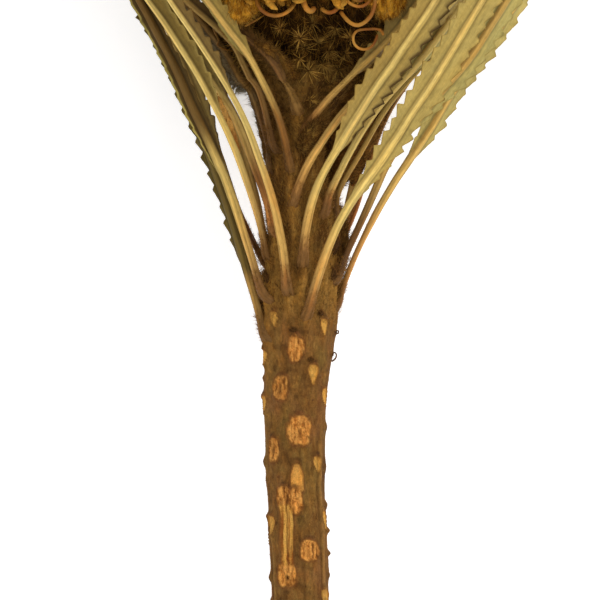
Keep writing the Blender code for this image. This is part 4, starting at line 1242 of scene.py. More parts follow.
    # ---- the long torn strip of bark
    a0, lo, hi, ww = STRIP
    wmid = (lo + hi) / 2 * GRID
    az = math.asin((a0 * GRID - float(stem_offset(wmid)))
                   / float(stem_radius(wmid)))
    sway = 0.25 * MM * noise(np.stack([w * 0, w, w * 0], -1), 0.006, 71)
    dx = (th - az) * r0 + sway
    half = ww * GRID / 2 * (1 + 0.22 * noise(
        np.stack([np.sign(dx), w, w * 0], -1), 0.003, 72, 2))
    ends = ramp(w, lo * GRID, lo * GRID + 1.2 * MM) * (
        1 - ramp(w, hi * GRID, hi * GRID + 1.0 * MM))
    inside = (1 - ramp(np.abs(dx), half * 0.88, half * 1.05)) * ends
    fib = noise(np.stack([dx, w, dx * 0], -1), (0.00030, 0.0075, 1), 73, 2)
    groove = np.exp(-((dx - 0.15 * MM) / (0.16 * MM)) ** 2) * ramp(
        w, 25 * GRID, 40 * GRID)
    knot = np.exp(-((dx + 0.3 * MM) / (0.42 * MM)) ** 2
                  - ((w - 23 * GRID) / (0.75 * MM)) ** 2)
    cc = mix(np.broadcast_to(srgb(150, 92, 40), (n, K, 3)),
             srgb(220, 166, 80), ramp(fib, -0.45, 0.35))
    cc = mix(cc, srgb(92, 52, 22), 0.80 * groove)
    c = mix(c, cc, inside)
    c = mix(c, srgb(48, 24, 10), 0.9 * knot)
    edge = np.exp(-((np.abs(dx) - half * 1.12) / (0.25 * MM)) ** 2) * ends
    d += (0.14 * edge - 0.22 * inside + 0.13 * inside * fib
          - 0.16 * inside * groove - 0.45 * knot) * MM
    c = mix(c, srgb(112, 70, 36), 0.5 * edge)
    # ---- two long pale ribs down the sides, below the lowest leaf
    for az_r, lo_r, hi_r, amt in ((0.98, -40, 36, 0.24), (-1.10, -38, 20, 0.2),
                                  (2.4, -40, 50, 0.25), (-2.6, -30, 45, .25)):
        da = ((th - az_r + np.pi) % (2 * np.pi) - np.pi) * r0 \
            + 0.4 * MM * noise(np.stack([w * 0, w, w * 0], -1), 0.02, 77)
        on = ramp(w, lo_r * MM, (lo_r + 6) * MM) * (
            1 - ramp(w, (hi_r - 6) * MM, hi_r * MM))
        body = np.exp(-(da / (0.55 * MM)) ** 2) * on
        d += amt * body * MM
        c = mix(c, srgb(156, 118, 64), 0.55 * body)
        side = np.exp(-((da + 0.9 * MM) / (0.28 * MM)) ** 2) * on
        d -= 0.12 * side * MM
        c = mix(c, dark, 0.5 * side)
    # ---- cut end: a bevelled rim
    endk = 1 - ramp(w, STEM_CUT, STEM_CUT + 0.5 * MM)
    d -= endk * 0.30 * MM
    rad = r0 + d
    P = np.stack([off + rad * np.sin(th), w, rad * np.cos(th)], -1)
    V = [P.reshape(-1, 3)]
    C = [np.clip(c, 0.002, 0.95).reshape(-1, 3)]
    faces = [grid_faces(n, K)[:, ::-1]]
    # cut face: bark ring, pale wood with rays and rings, brown pith
    count = n * K
    prev = np.arange(K)
    first_ring = P[0]
    centre = np.array([float(stem_offset(STEM_CUT)), STEM_CUT, 0.0])
    for f in np.linspace(0.96, 0.05, 26):
        ring = centre + (first_ring - centre) * f
        rr = np.linalg.norm(ring - centre, axis=1)
        ray = noise(np.stack([np.sin(ang), np.cos(ang), 0 * ang + f * 0.4],
                             1), 0.045, 81, 2)
        age = np.sin(rr / (0.00062) * 2 * np.pi)
        rough_cut = noise(ring, 0.0008, 82, 2)
        ring = ring.copy()
        bark_ring = ramp(np.full(K, f), 0.80, 0.86)
        pith = 1 - ramp(np.full(K, f), 0.16, 0.24)
        ring[:, 1] += (0.10 * rough_cut + 0.05 * age - 0.10 * bark_ring
                       + 0.35 * pith) * MM
        wood = srgb(206, 170, 112) * (1 + 0.10 * ray + 0.09 * age
                                      + 0.08 * rough_cut)[:, None]
        cc = mix(wood, srgb(104, 70, 38) * (1 + 0.3 * rough_cut)[:, None],
                 bark_ring)
        cc = mix(cc, srgb(132, 88, 48)[None] * (1 + 0.2 * rough_cut)[:, None],
                 pith)
        V.append(ring)
        C.append(cc)
        cur = np.arange(K) + count
        faces.append(np.stack([prev, np.roll(prev, -1), np.roll(cur, -1),
                               cur], 1))
        prev = cur
        count += K
    V.append(centre[None] + np.array([[0, 0.0004, 0]]))
    C.append(srgb(110, 72, 40)[None])
    tri = np.stack([prev, np.roll(prev, -1), np.full(K, count)], 1)
    count += 1
    # top: closed under the cone
    top = np.arange(K) + (n - 1) * K
    V.append(np.array([[float(stem_offset(STEM_TOP)), 113 * MM, 0]]))
    C.append(srgb(50, 32, 14)[None])
    tri2 = np.stack([np.roll(top, -1), top, np.full(K, count)], 1)[:, ::-1]
    V, C = np.concatenate(V), np.concatenate(C)
    W = to_world(V)
    W[:, 2] = np.maximum(W[:, 2], 0.00003)
    Loc = V.copy()
    ob = make_mesh("stem_bark", W, faces + [tri, tri2], C, Loc,
                   material=M_BARK)
    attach(ob, "root")
    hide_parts("stem")
    return P, ang, ws


STEM_P, STEM_ANG, STEM_W = build_stem()


def stem_hair(count, w_lo, w_hi, long, thick, colour, tilt, seed, along=1.0,
              az_lo=-np.pi, az_hi=np.pi):
    r = np.random.default_rng(seed)
    az = r.uniform(az_lo, az_hi, count)
    w = w_lo + (w_hi - w_lo) * r.random(count)
    i = np.clip(np.searchsorted(STEM_W, w), 0, len(STEM_W) - 1)
    j = ((az + np.pi) / (2 * np.pi) * len(STEM_ANG)).astype(int) \
        % len(STEM_ANG)
    base = STEM_P[i, j]
    nrm = np.stack([np.sin(az), 0 * az, np.cos(az)], 1)
    d = nrm * tilt + np.array([0, along, 0]) + r.normal(0, .38, (count, 3))
    HAIRS.append((base - nrm * 0.00005, unit(d), nrm,
                  long * r.uniform(0.5, 1.3, count), np.full(count, thick),
                  colour * r.uniform(0.6, 1.4, (count, 1))))


stem_hair(5200, 57 * MM, 80 * MM, 0.0010, 0.000045, srgb(150, 112, 56), 0.40,
          61)
stem_hair(7000, 76 * MM, 108 * MM, 0.0014, 0.00005, srgb(150, 112, 54), 0.55,
          62)
stem_hair(2200, 60 * MM, 108 * MM, 0.0012, 0.00005, srgb(84, 56, 26), 0.55,
          65)
stem_hair(1500, 96 * MM, 110 * MM, 0.0022, 0.00005, srgb(96, 66, 28), 1.0,
          63, 0.6)
stem_hair(1600, -44 * MM, 58 * MM, 0.00045, 0.000035, srgb(140, 104, 58),
          0.6, 64)

# ---- felted bracts that close the gaps between the stalks at the neck
WOOL_BRACTS = [
    ("neck_wool_right", [(325, 200, -3.6, 6), (330, 184, -4.2, 12),
                         (337, 168, -4.6, 19), (346, 149, -5.0, 23),
                         (355, 124, -5.2, 26), (365, 98, -5.4, 24),
                         (379, 73, -5.6, 18), (393, 46, -6.0, 9)],
     1.5, srgb(124, 86, 40), srgb(78, 50, 23), 4800, 0.8),
    ("neck_wool_slip", [(352, 186, -9.6, 3), (357, 172, -10.0, 5.5),
                        (363, 151, -10.6, 6.5), (371, 130, -11.2, 6),
                        (380, 108, -11.8, 4)],
     0.8, srgb(168, 116, 56), srgb(118, 78, 37), 900, 0.4),
    ("neck_wool_heel", [(261.5, 275, 1.0, 2), (263, 287, 1.4, 4),
                        (264.5, 301, 1.6, 5), (265.5, 320, 1.6, 4)],
     1.6, srgb(116, 83, 39), srgb(80, 53, 25), 700, 0.5),
    ("neck_wool_low", [(330, 306, -1.0, 4), (334, 286, -0.8, 7),
                       (337, 264, -0.8, 8.5), (339.5, 242, -1.0, 8.5),
                       (340, 222, -1.4, 6.5), (338, 206, -1.8, 3)],
     2.4, srgb(112, 80, 37), srgb(74, 48, 22), 2600, 0.7),
    ("neck_wool_left", [(277, 205, -1.0, 3), (275, 184, -1.2, 5),
                        (271.5, 160, -1.4, 6.5), (266.5, 136, -1.8, 7),
                        (261, 112, -2.2, 7), (254, 90, -2.8, 6.5),
                        (246, 70, -3.6, 6), (236, 50, -4.4, 5)],
     1.5, srgb(108, 76, 36), srgb(68, 44, 19), 2400, 0.35),
    ("neck_wool_twig", [(317, 92, 7.4, 2), (323, 89, 8.0, 3.2),
                        (330, 86, 8.5, 3.2), (337, 83, 8.8, 1.8)],
     0.5, srgb(150, 112, 50), srgb(102, 70, 29), 700, 0.6),
    ("neck_wool_top", [(254, 42, 13.6, 3), (265, 49, 13.8, 4.5),
                       (276, 58, 13.2, 5), (286, 68, 12.2, 5),
                       (295, 80, 10.6, 4.5)],
     0.8, srgb(158, 114, 48), srgb(112, 78, 32), 2200, 0.6),
    ("neck_wool_slat", [(217, 94, 5.4, 1.2), (223, 108, 5.6, 2.6),
                        (230, 126, 5.8, 3.6), (236, 142, 5.6, 3.0),
                        (240, 154, 5.4, 1.0)],
     0.5, srgb(196, 148, 78), srgb(156, 106, 52), 60, 0.25),
    ("neck_wool_bud", [(299, 152, 6.2, 4), (304, 144, 6.8, 7),
                       (310, 136, 7.2, 8), (316, 129, 7.2, 6.5),
                       (321, 122, 7.0, 3.5)],
     0.9, srgb(160, 122, 58), srgb(112, 80, 36), 1800, 0.9),
]
for b_i, (b_name, pts, deep, c_hi, c_lo, cnt, h_len) in enumerate(
        WOOL_BRACTS):
    pts = np.array(pts, float)
    t_ = np.linspace(0, 1, len(pts))
    tt = np.linspace(0, 1, 90)
    cen = np.stack([smooth_table(t_, (pts[:, 0] - 300) * GRID, tt),
                    smooth_table(t_, (600 - pts[:, 1]) * GRID, tt),
                    smooth_table(t_, pts[:, 2] * MM, tt)], 1)
    hw_ = smooth_table(t_, pts[:, 3] * GRID, tt)
    tn = unit(np.gradient(cen, axis=0))
    side_ = unit(np.cross(tn, np.array([0, 0, 1.0])))
    front_ = np.cross(side_, tn)
    m_ = 40
    ph = np.linspace(0, 2 * np.pi, m_, endpoint=False)
    end_k = np.sqrt(np.clip(1 - (2 * tt - 1) ** 8, 0.01, 1))
    hd_ = np.minimum(hw_, deep * MM)
    nn_ = (side_[:, None] * (np.cos(ph)[None, :, None])
           * (hd_ / hw_)[:, None, None]
           + front_[:, None] * np.sin(ph)[None, :, None])
    nn_ = unit(nn_)
    V_ = cen[:, None] + (side_[:, None] * (hw_ * end_k)[:, None, None]
                         * np.cos(ph)[None, :, None]
                         + front_[:, None] * (hd_ * end_k)[:, None, None]
                         * np.sin(ph)[None, :, None])
    lump = noise(V_, (0.0016, 0.0030, 0.0016), 700 + b_i, 3)
    comb = noise(V_, (0.0005, 0.0022, 0.0005), 710 + b_i, 2)
    V_ = V_ + nn_ * (0.45 * MM * lump + 0.22 * MM * comb)[..., None]
    # lighter on the lumps and darker in the dips: painted highlight and painted
    # shade of the wool's relief
    c_ = mix(np.broadcast_to(c_hi, V_.shape), c_lo,
             ramp(-(lump + 0.7 * comb), -0.35, 0.45))
    flat = V_.reshape(-1, 3)
    F_ = grid_faces(90, m_)
    V2 = np.vstack([flat, V_[0].mean(0), V_[-1].mean(0)])
    j_ = np.arange(m_)
    F0 = np.stack([np.full(m_, 90 * m_), (j_ + 1) % m_, j_], 1)
    F1 = np.stack([np.full(m_, 90 * m_ + 1), 89 * m_ + j_,
                   89 * m_ + (j_ + 1) % m_], 1)
    C2 = np.vstack([c_.reshape(-1, 3), c_[0].mean(0), c_[-1].mean(0)])
    p0, p1, p2 = (flat[F_[:, i]] - cen.mean(0) for i in (0, 1, 2))
    if np.einsum("ij,ij->i", p0, np.cross(p1, p2)).sum() < 0:
        F_, F0, F1 = F_[:, ::-1], F0[:, ::-1], F1[:, ::-1]
    ob = make_mesh(b_name, keep_off_ground(to_world(V2)), [F_, F0, F1],
                   np.clip(C2, .002, 1), V2, material=M_WOOL)
    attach(ob, "root")
    r = np.random.default_rng(720 + b_i)
    sel = r.integers(m_, 89 * m_, cnt)
    nf = nn_.reshape(-1, 3)[sel]
    tf = np.repeat(tn, m_, 0)[sel]
    HAIRS.append((flat[sel], unit(nf * 0.75 + tf * 0.7
                                  + r.normal(0, .45, (cnt, 3))), nf,
                  0.0016 * h_len * r.uniform(.5, 1.4, cnt),
                  np.full(cnt, 0.00005),
                  mix(np.broadcast_to(srgb(72, 46, 20), (cnt, 3)),
                      srgb(156, 116, 56), r.random(cnt) ** 1.5)))

# ---- dark woolly buds in the leaf axils, and two curled shreds of bark
BUDS = [(-35, 318, 3.8, 1.15, 2.4), (-37, 341, 2.2, 0.8, 1.6),
        (-36, 379, 3.4, 0.7, 1.2), (38, 397, 2.0, 0.8, 1.7),
        (39, 353, 1.5, 1.0, 2.0), (35, 325, 2.6, 0.9, 1.6),
        (-7, 270.5, 7, 0.75, 0.38), (11, 240.5, 6.8, 0.6, 0.34),
        (22, 287, 6.2, 0.5, 0.42), (-34, 262, 4, 0.6, 0.9)]


def ellipsoid(centre, ax, rx, ry, seed, rows=14, cols=18):
    a = np.linspace(0.12, np.pi - 0.12, rows)[:, None]
    b = np.linspace(0, 2 * np.pi, cols, endpoint=False)[None]
    p = np.stack([np.sin(a) * np.cos(b), np.cos(a) + 0 * b,
                  np.sin(a) * np.sin(b)], -1)
    lump = 1 + 0.22 * noise(p * 0.001, 0.0005, seed, 2)
    p = p * lump[..., None] * np.array([rx, ry, rx])
    ax = unit(np.asarray(ax, float))
    side = unit(np.cross(ax, [0.3, 0.1, 1.0]))
    third = np.cross(side, ax)
    P = centre + p[..., 0:1] * side + p[..., 1:2] * ax + p[..., 2:3] * third
    n = rows * cols
    V = np.vstack([P.reshape(-1, 3), P[0].mean(0), P[-1].mean(0)])
    j = np.arange(cols)
    f0 = np.stack([np.full(cols, n), (j + 1) % cols, j], 1)
    f1 = np.stack([np.full(cols, n + 1), (rows - 1) * cols + j,
                   (rows - 1) * cols + (j + 1) % cols], 1)
    nrm = unit(P.reshape(-1, 3) - centre)
    return V, [grid_faces(rows, cols), f0, f1], P.reshape(-1, 3), nrm


bud_parts = []
for _k, (a, b, v, rx, ry) in enumerate(BUDS):
    _w = b * GRID
    _u = a * GRID - float(stem_offset(_w))
    _R = float(stem_radius(_w)) + 0.35 * MM
    _az = math.atan2(_u, v * MM)
    ctr = np.array([float(stem_offset(_w)) + _R * math.sin(_az), _w,
                    _R * math.cos(_az)])
    V_, F_, PP, NN = ellipsoid(ctr, (math.sin(_az) * 0.4, 1, math.cos(_az)
                                     * 0.4), rx * MM, ry * MM, 200 + _k)
    bud_parts.append((to_world(V_), F_, srgb(80, 54, 28)))
    sel = rng.integers(0, len(PP), 260)
    HAIRS.append((PP[sel], unit(NN[sel] + np.array([0, 0.8, 0])
                                + rng.normal(0, .45, (260, 3))), NN[sel],
                  0.0010 * min(1.0, (rx + ry) / 2.6)
                  * rng.uniform(.5, 1.4, 260), np.full(260, 0.00005),
                  srgb(112, 78, 40) * rng.uniform(.5, 1.6, (260, 1))))


def strand(points, r0, r1, sides=7, step=0.0002, passes=4):
    q = course_curve(points, step=step, passes=passes)
    rad = np.linspace(r0, r1, len(q))
    return q, rad


shreds = []
for pts in (
    [(33, 270, 0.5), (35, 268, 1.0), (38, 266, 1.2), (39, 268, 1.0),
     (37.5, 270, 0.6), (36, 268, 0.2)],
    [(32, 239, 1.5), (35, 241, 1.8), (36.5, 245, 1.6), (35, 248, 1.2),
     (33.2, 247, 1.0), (33, 244, 1.0)],
    [(-34, 262, 1.0), (-36.5, 263, 1.2), (-37.5, 266, 1.0)],
):
    q_, rad_ = strand([(a * GRID, b * GRID, v * MM) for a, b, v in pts],
                      0.00022, 0.00012)
    V_, F_ = tubes(q_[None], rad_[None], 5)
    shreds.append((to_world(V_), F_, srgb(104, 72, 42)))
V_, F_, C_ = join_parts(bud_parts + shreds)
ob = make_mesh("stem_buds", V_, F_, C_, V_, material=M_BARK)
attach(ob, "root")

# =====================================================================
# The cone: core, flowers, styles, wool
# =====================================================================
CW = np.linspace(_CT[0, 0], _CT[-1, 0], 600)
CR = cone_radius(CW)
CSLOPE = np.gradient(CR, CW)


def cone_at(w):
    r = np.interp(w, CW, CR)
    sl = np.interp(w, CW, CSLOPE)
    k = 1 / np.sqrt(1 + sl * sl)
    return r, k, -sl * k               # radius, normal radial, normal along w


def cone_point(w, az, depth):
    """Point `depth` metres under the cone's outer surface."""
    r, nr, nw = cone_at(w)
    rr = r - nr * depth
    return np.stack([CONE_OFFSET + rr * np.sin(az), w - nw * depth,
                     rr * np.cos(az)], -1)


def cone_normal(w, az):
    _, nr, nw = cone_at(w)
    return np.stack([nr * np.sin(az), nw, nr * np.cos(az)], -1)


def build_core():
    rows, K = 190, 220
    t = np.linspace(0, 1, rows)
    ws = _CT[0, 0] + (_CT[-1, 0] - _CT[0, 0]) * (
        0.5 - 0.5 * np.cos(np.pi * t)) ** 0.92
    az = np.linspace(0, 2 * np.pi, K, endpoint=False)
    w = np.broadcast_to(ws[:, None], (rows, K))
    a = np.broadcast_to(az[None], (rows, K))
    under = 1 - ramp(w, 116 * MM, 132 * MM)
    depth = mix1(5.2 * MM, 1.6 * MM, under)
    depth = np.minimum(depth, cone_at(w)[0] * 0.45)
    P = cone_point(w, a, depth)
    n = cone_normal(w, a)
    pit = noise(P, 0.0036, 300, 2)
    shag = noise(P, (0.0011, 0.0016, 0.0011), 301, 3)
    P = P + n * ((0.9 * pit + 0.45 * shag) * MM)[..., None]
    c = mix(np.broadcast_to(srgb(74, 48, 18), P.shape),
            srgb(150, 102, 40), ramp(shag, 0.0, 0.6))
    # near black in the sunken pits of the relief: painted shade between the
    # flowers
    c = mix(c, srgb(40, 24, 10), ramp(-pit, 0.05, 0.6))
    # the underside of the cone much darker: painted shade in the hollow under
    # the cone
    c = mix(c, c * 0.42, under)
    V = np.vstack([P.reshape(-1, 3), P[0].mean(0), P[-1].mean(0)])
    N = rows * K
    j = np.arange(K)
    f0 = np.stack([np.full(K, N), (j + 1) % K, j], 1)[:, ::-1]
    f1 = np.stack([np.full(K, N + 1), (rows - 1) * K + j,
                   (rows - 1) * K + (j + 1) % K], 1)[:, ::-1]
    C = np.vstack([c.reshape(-1, 3), c[0, 0], c[-1, 0]])
    W = keep_off_ground(to_world(V))
    ob = make_mesh("spike_core", W, [grid_faces(rows, K), f0[:, ::-1],
                                     f1[:, ::-1]], C, material=M_WOOL)
    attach(ob, "root")
    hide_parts("flower_spike")


build_core()

# ---- flowers in the spirals of the spike
area = np.concatenate([[0], np.cumsum(
    (CR[1:] + CR[:-1]) * np.hypot(np.diff(CW), np.diff(CR)))])
NF = 1500
_fi = (np.arange(NF) + 0.5) / NF
f_w = np.interp(_fi * area[-1], area, CW)
f_az = (np.arange(NF) * 2.399963) % (2 * np.pi)
keep = f_w > mix1(118.0, 124.0, ramp(np.cos(f_az), -0.3, 0.2)) * MM
f_w, f_az = f_w[keep], f_az[keep]
f_w = f_w + rng.normal(0, 0.35 * MM, len(f_w))
f_az = f_az + rng.normal(0, 0.018, len(f_w))
openness = 1 - ramp(f_w + rng.normal(0, 5 * MM, len(f_w)), 176 * MM,
                    196 * MM)
is_open = openness > 0.5
GOLD = srgb(176, 122, 40)
GOLD2 = srgb(206, 156, 66)
RUST = srgb(140, 82, 26)
CREAM = srgb(206, 176, 116)


def flower_axes(w, az):
    n = cone_normal(w, az)
    up = np.stack([0 * az, 0 * az + 1.0, 0 * az], -1)
    along = unit(up - n * (n * up).sum(-1, keepdims=True))
    return n, along, np.cross(n, along)


def spike_piece(name, V, F, C, mat):
    ob = make_mesh(name, keep_off_ground(to_world(V)), F, np.clip(C, .002, 1),
                   material=mat)
    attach(ob, "root")
    return ob


# closed buds near the top: woolly clubs in neat rows
cw, ca = f_w[~is_open], f_az[~is_open]
n_, al_, si_ = flower_axes(cw, ca)
S = len(cw)
K = 11
tt = np.linspace(0, 1, K)
root = cone_point(cw, ca, np.minimum(6.5 * MM, cone_at(cw)[0] * 0.5))
tipp = cone_point(cw, ca, rng.uniform(-0.2, 1.4, S) * MM) + al_ * (
    1.6 * MM)
path = root[:, None] + (tipp - root)[:, None] * tt[None, :, None] \
    + al_[:, None] * (np.sin(tt * np.pi) * -0.6 * MM)[None, :, None]
club = 0.55 + 0.75 * np.exp(-((tt - 0.70) / 0.20) ** 2)
club[-1] = 0.12
club[-2] = 0.75
rad = club[None] * 1.0 * MM * rng.uniform(.85, 1.15, (S, 1))
V_, F_ = tubes(path, rad, 9)
cc = mix(np.broadcast_to(RUST, (S, K, 9, 3)), CREAM, np.broadcast_to(
    ramp(tt, 0.45, 0.95)[None, :, None], (S, K, 9)))
cc = cc * rng.uniform(.75, 1.2, (S, 1, 1, 1))
Vn = V_.reshape(-1, 3)
bumpn = noise(Vn, 0.0009, 320, 2)
Vn = Vn + unit(Vn - np.repeat(path.reshape(-1, 3), 9, 0)) * (
    0.10 * MM * bumpn)[:, None]
closed_part = (Vn, F_, cc.reshape(-1, 3) * (1 + 0.25 * bumpn)[:, None])
spike_piece("spike_buds", *closed_part, M_WOOL)

# open flowers: woolly tepals that curl back, three to each flower here where
# the real ones have four
ow, oa = f_w[is_open], f_az[is_open]
n_, al_, si_ = flower_axes(ow, oa)
S = len(ow)
low = 1 - ramp(ow, 122 * MM, 150 * MM)          # droop of the lowest flowers
K = 9
parts = []
for t4 in range(3):
    ph = t4 * 2 * np.pi / 3 + rng.uniform(0, 2 * np.pi, S)
    lat = al_ * np.cos(ph)[:, None] + si_ * np.sin(ph)[:, None]
    st = cone_point(ow, oa, mix1(6.2 * MM, 3.8 * MM, low)) + lat * 0.5 * MM
    lean = al_ * mix1(0.30, -0.35, low)[:, None]
    d0 = n_ + lean + lat * 0.25 + rng.normal(0, 0.16, (S, 3))
    axis = np.cross(d0, lat)
    turn = rng.uniform(70, 330, S)
    path = curl_paths(st, d0, axis, rng.uniform(6.2, 8.6, S) * MM, K,
                      lambda f, n, turn=turn: turn * (f ** 1.6) * 1.9)
    hang = (path[..., 1].min(1) < 122.5 * MM) & (
        path[..., 2].mean(1) > 2 * MM)
    path = np.where(hang[:, None, None], st[:, None] + (path - st[:, None])
                    * 0.45, path)
    tt = np.linspace(0, 1, K)
    shape = 0.50 + 0.28 * np.exp(-((tt - 0.72) / 0.18) ** 2)
    shape[-1] = 0.16
    rad = shape[None] * MM * rng.uniform(.85, 1.2, (S, 1))
    V_, F_ = tubes(path, rad, 6, flatten=0.62)
    tone = rng.uniform(0, 1, (S, 1, 1))
    cc = mix(np.broadcast_to(RUST, (S, K, 6, 3)), GOLD, np.broadcast_to(
        ramp(tt, 0.15, 0.75)[None, :, None], (S, K, 6)))
    cc = mix(cc, GOLD2, np.broadcast_to(
        tone * ramp(tt, 0.5, 1.0)[None, :, None], (S, K, 6)))
    cc = cc * rng.uniform(.62, 1.18, (S, 1, 1, 1))
    bn = noise(V_, 0.0008, 330 + t4, 2)
    parts.append((V_, F_, cc.reshape(-1, 3) * (1 + 0.3 * bn)[:, None]))
    # wool on the tepals
    cnt = 3600
    si = rng.integers(0, S, cnt)
    ki = rng.integers(2, K, cnt)
    nn = unit(rng.normal(0, 1, (cnt, 3)))
    HAIRS.append((path[si, ki] + nn * rad[si, ki][:, None] * 0.8,
                  unit(nn + 0.7 * n_[si] * rng.uniform(-.3, 1, (cnt, 1))),
                  nn, 0.0012 * rng.uniform(.5, 1.4, cnt),
                  np.full(cnt, 0.000045),
                  mix(np.broadcast_to(GOLD, (cnt, 3)), CREAM,
                      rng.random(cnt)) * rng.uniform(.7, 1.1, (cnt, 1))))
V_, F_, C_ = join_parts(parts[:2])
spike_piece("spike_tepals", V_, F_, C_, M_WOOL)
V_, F_, C_ = join_parts(parts[2:])
spike_piece("spike_tepals_inner", V_, F_, C_, M_WOOL)

# styles: wiry, arching out and curling over at the end
K = 17
sel = rng.random(S) < mix1(0.80, 0.80, low)
st = cone_point(ow, oa, 5.4 * MM)[sel]
nn_, aa_, ss_ = n_[sel], al_[sel], si_[sel]
lw = low[sel]
Sn = len(st)
upd = rng.normal(0.30, 0.28, Sn)
d0 = nn_ + aa_ * mix1(upd, -0.25 + 0.2 * rng.normal(0, 1, Sn), lw)[:, None] \
    + ss_ * rng.normal(0, 0.30, Sn)[:, None]
plane = aa_ * rng.normal(0.0, 0.5, Sn)[:, None] \
    + ss_ * np.where(rng.random(Sn) < 0.78, 1, -1)[:, None]
plane = plane * np.where(rng.random(Sn) < 0.75, 1, -1)[:, None]
kap = rng.uniform(230, 420, Sn)
on = rng.uniform(0.28, 0.48, Sn)
path = curl_paths(st, d0, plane, rng.uniform(12.0, 18.5, Sn) * MM, K,
                  lambda f, n: kap * (f > on) * np.minimum(
                      1, (f - on) / 0.1).clip(0, 1))
# nothing reaches far out of the cone's outer surface
rr = np.hypot(path[..., 0] - CONE_OFFSET, path[..., 2])
lim = np.interp(path[..., 1], CW, CR) + 3.2 * MM
lim = np.where(path[..., 1] < CW[0] + 8 * MM, rr, lim)
k_ = np.minimum(1, lim / np.maximum(rr, 1e-6))
path[..., 0] = CONE_OFFSET + (path[..., 0] - CONE_OFFSET) * k_
path[..., 2] *= k_
hang = (path[..., 1].min(1) < 126 * MM) & (path[..., 2].mean(1) > 2 * MM)
path, Sn = path[~hang], int((~hang).sum())
tt = np.linspace(0, 1, K)
rad = (0.30 - 0.06 * tt + 0.09 * np.exp(-((tt - 0.95) / 0.05) ** 2))[None] \
    * MM * rng.uniform(.85, 1.15, (Sn, 1))
rad[:, -1] *= 0.45
V_, F_ = tubes(path, rad, 5)
cc = mix(np.broadcast_to(srgb(140, 92, 30), (Sn, K, 5, 3)),
         srgb(186, 134, 52), np.broadcast_to(tt[None, :, None], (Sn, K, 5)))
cc = cc * rng.uniform(.65, 1.25, (Sn, 1, 1, 1))
parts = [(V_, F_, cc.reshape(-1, 3))]

# the curls that hang at the lower edge on the upper side, one by one
CURLS = [
    ([(-46, 612, 15), (-44, 600, 17), (-41, 591, 18), (-35, 585, 18.4),
      (-27, 582, 18.5), (-18, 583, 18.2), (-10, 588, 17.6), (-4, 597, 16.5),
      (-3, 606, 15)], 0.42),
    ([(2, 612, 16), (3, 600, 17.8), (5, 591, 18.4), (9, 586, 18.8),
      (13, 586, 18.4), (14, 591, 17.8)], 0.60),
    ([(21, 590, 16.8), (25, 586, 17.4), (30, 584.5, 17.8),
      (35, 587, 17.8), (39, 592, 17.4), (43, 600, 16.4), (46, 613, 15)],
     0.44),
    ([(42, 610, 16), (45, 599, 17.5), (50, 594, 18), (57, 591, 18.2),
      (64, 592, 18), (69, 597, 17.4), (72, 606, 16)], 0.36),
    ([(47, 608, 15), (50, 600, 16), (56, 597, 16.4), (62, 597, 16.2),
      (66, 602, 15.4)], 0.34),
    ([(75, 616, 16), (75, 604, 18), (74, 592, 19), (71, 583, 19.2),
      (65, 576, 19), (57, 572, 18.6), (50, 575, 18), (44, 581, 17),
      (40, 587, 16)], 0.42),
    ([(83, 563, 14.6), (82, 568, 15), (76, 569.5, 15.4), (66, 569, 15.6),
      (56, 568, 15.4), (52.5, 562, 15.2), (53, 555, 15), (58, 550, 15),
      (65, 548.5, 15), (71, 551, 15), (75, 557, 14.8), (77, 564, 14.4)],
     0.30),
    ([(-35, 584, 13), (-44, 578, 13.6), (-55, 572, 14)], 0.20),
    ([(14, 606, 13), (18, 596, 14), (22, 592, 14), (27, 597, 14)], 0.28),
    ([(86, 612, 16), (88, 600, 17), (92, 592, 17), (98, 596, 16)], 0.30),
]
for pts, rr_ in CURLS:
    q_ = course_curve([(a * GRID, b * GRID, v * MM) for a, b, v in pts],
                      step=0.00035, passes=10)
    rd = np.full(len(q_), rr_ * MM)
    rd[0] *= 0.5
    rd[-1] *= 0.5
    V_, F_ = tubes(q_[None], rd[None], 8)
    f = np.linspace(0, 1, len(q_))
    # lighter and darker passages along each curl: painted highlights and
    # painted shade
    c1 = mix(np.broadcast_to(srgb(182, 130, 50), (len(q_), 3)),
             srgb(132, 80, 22), 0.5 + 0.5 * np.sin(f * 9 + rr_ * 40))
    parts.append((V_, F_, np.repeat(c1, 8, 0)))
V_, F_, C_ = join_parts(parts)
spike_piece("spike_styles", V_, F_, C_, M_STYLE)

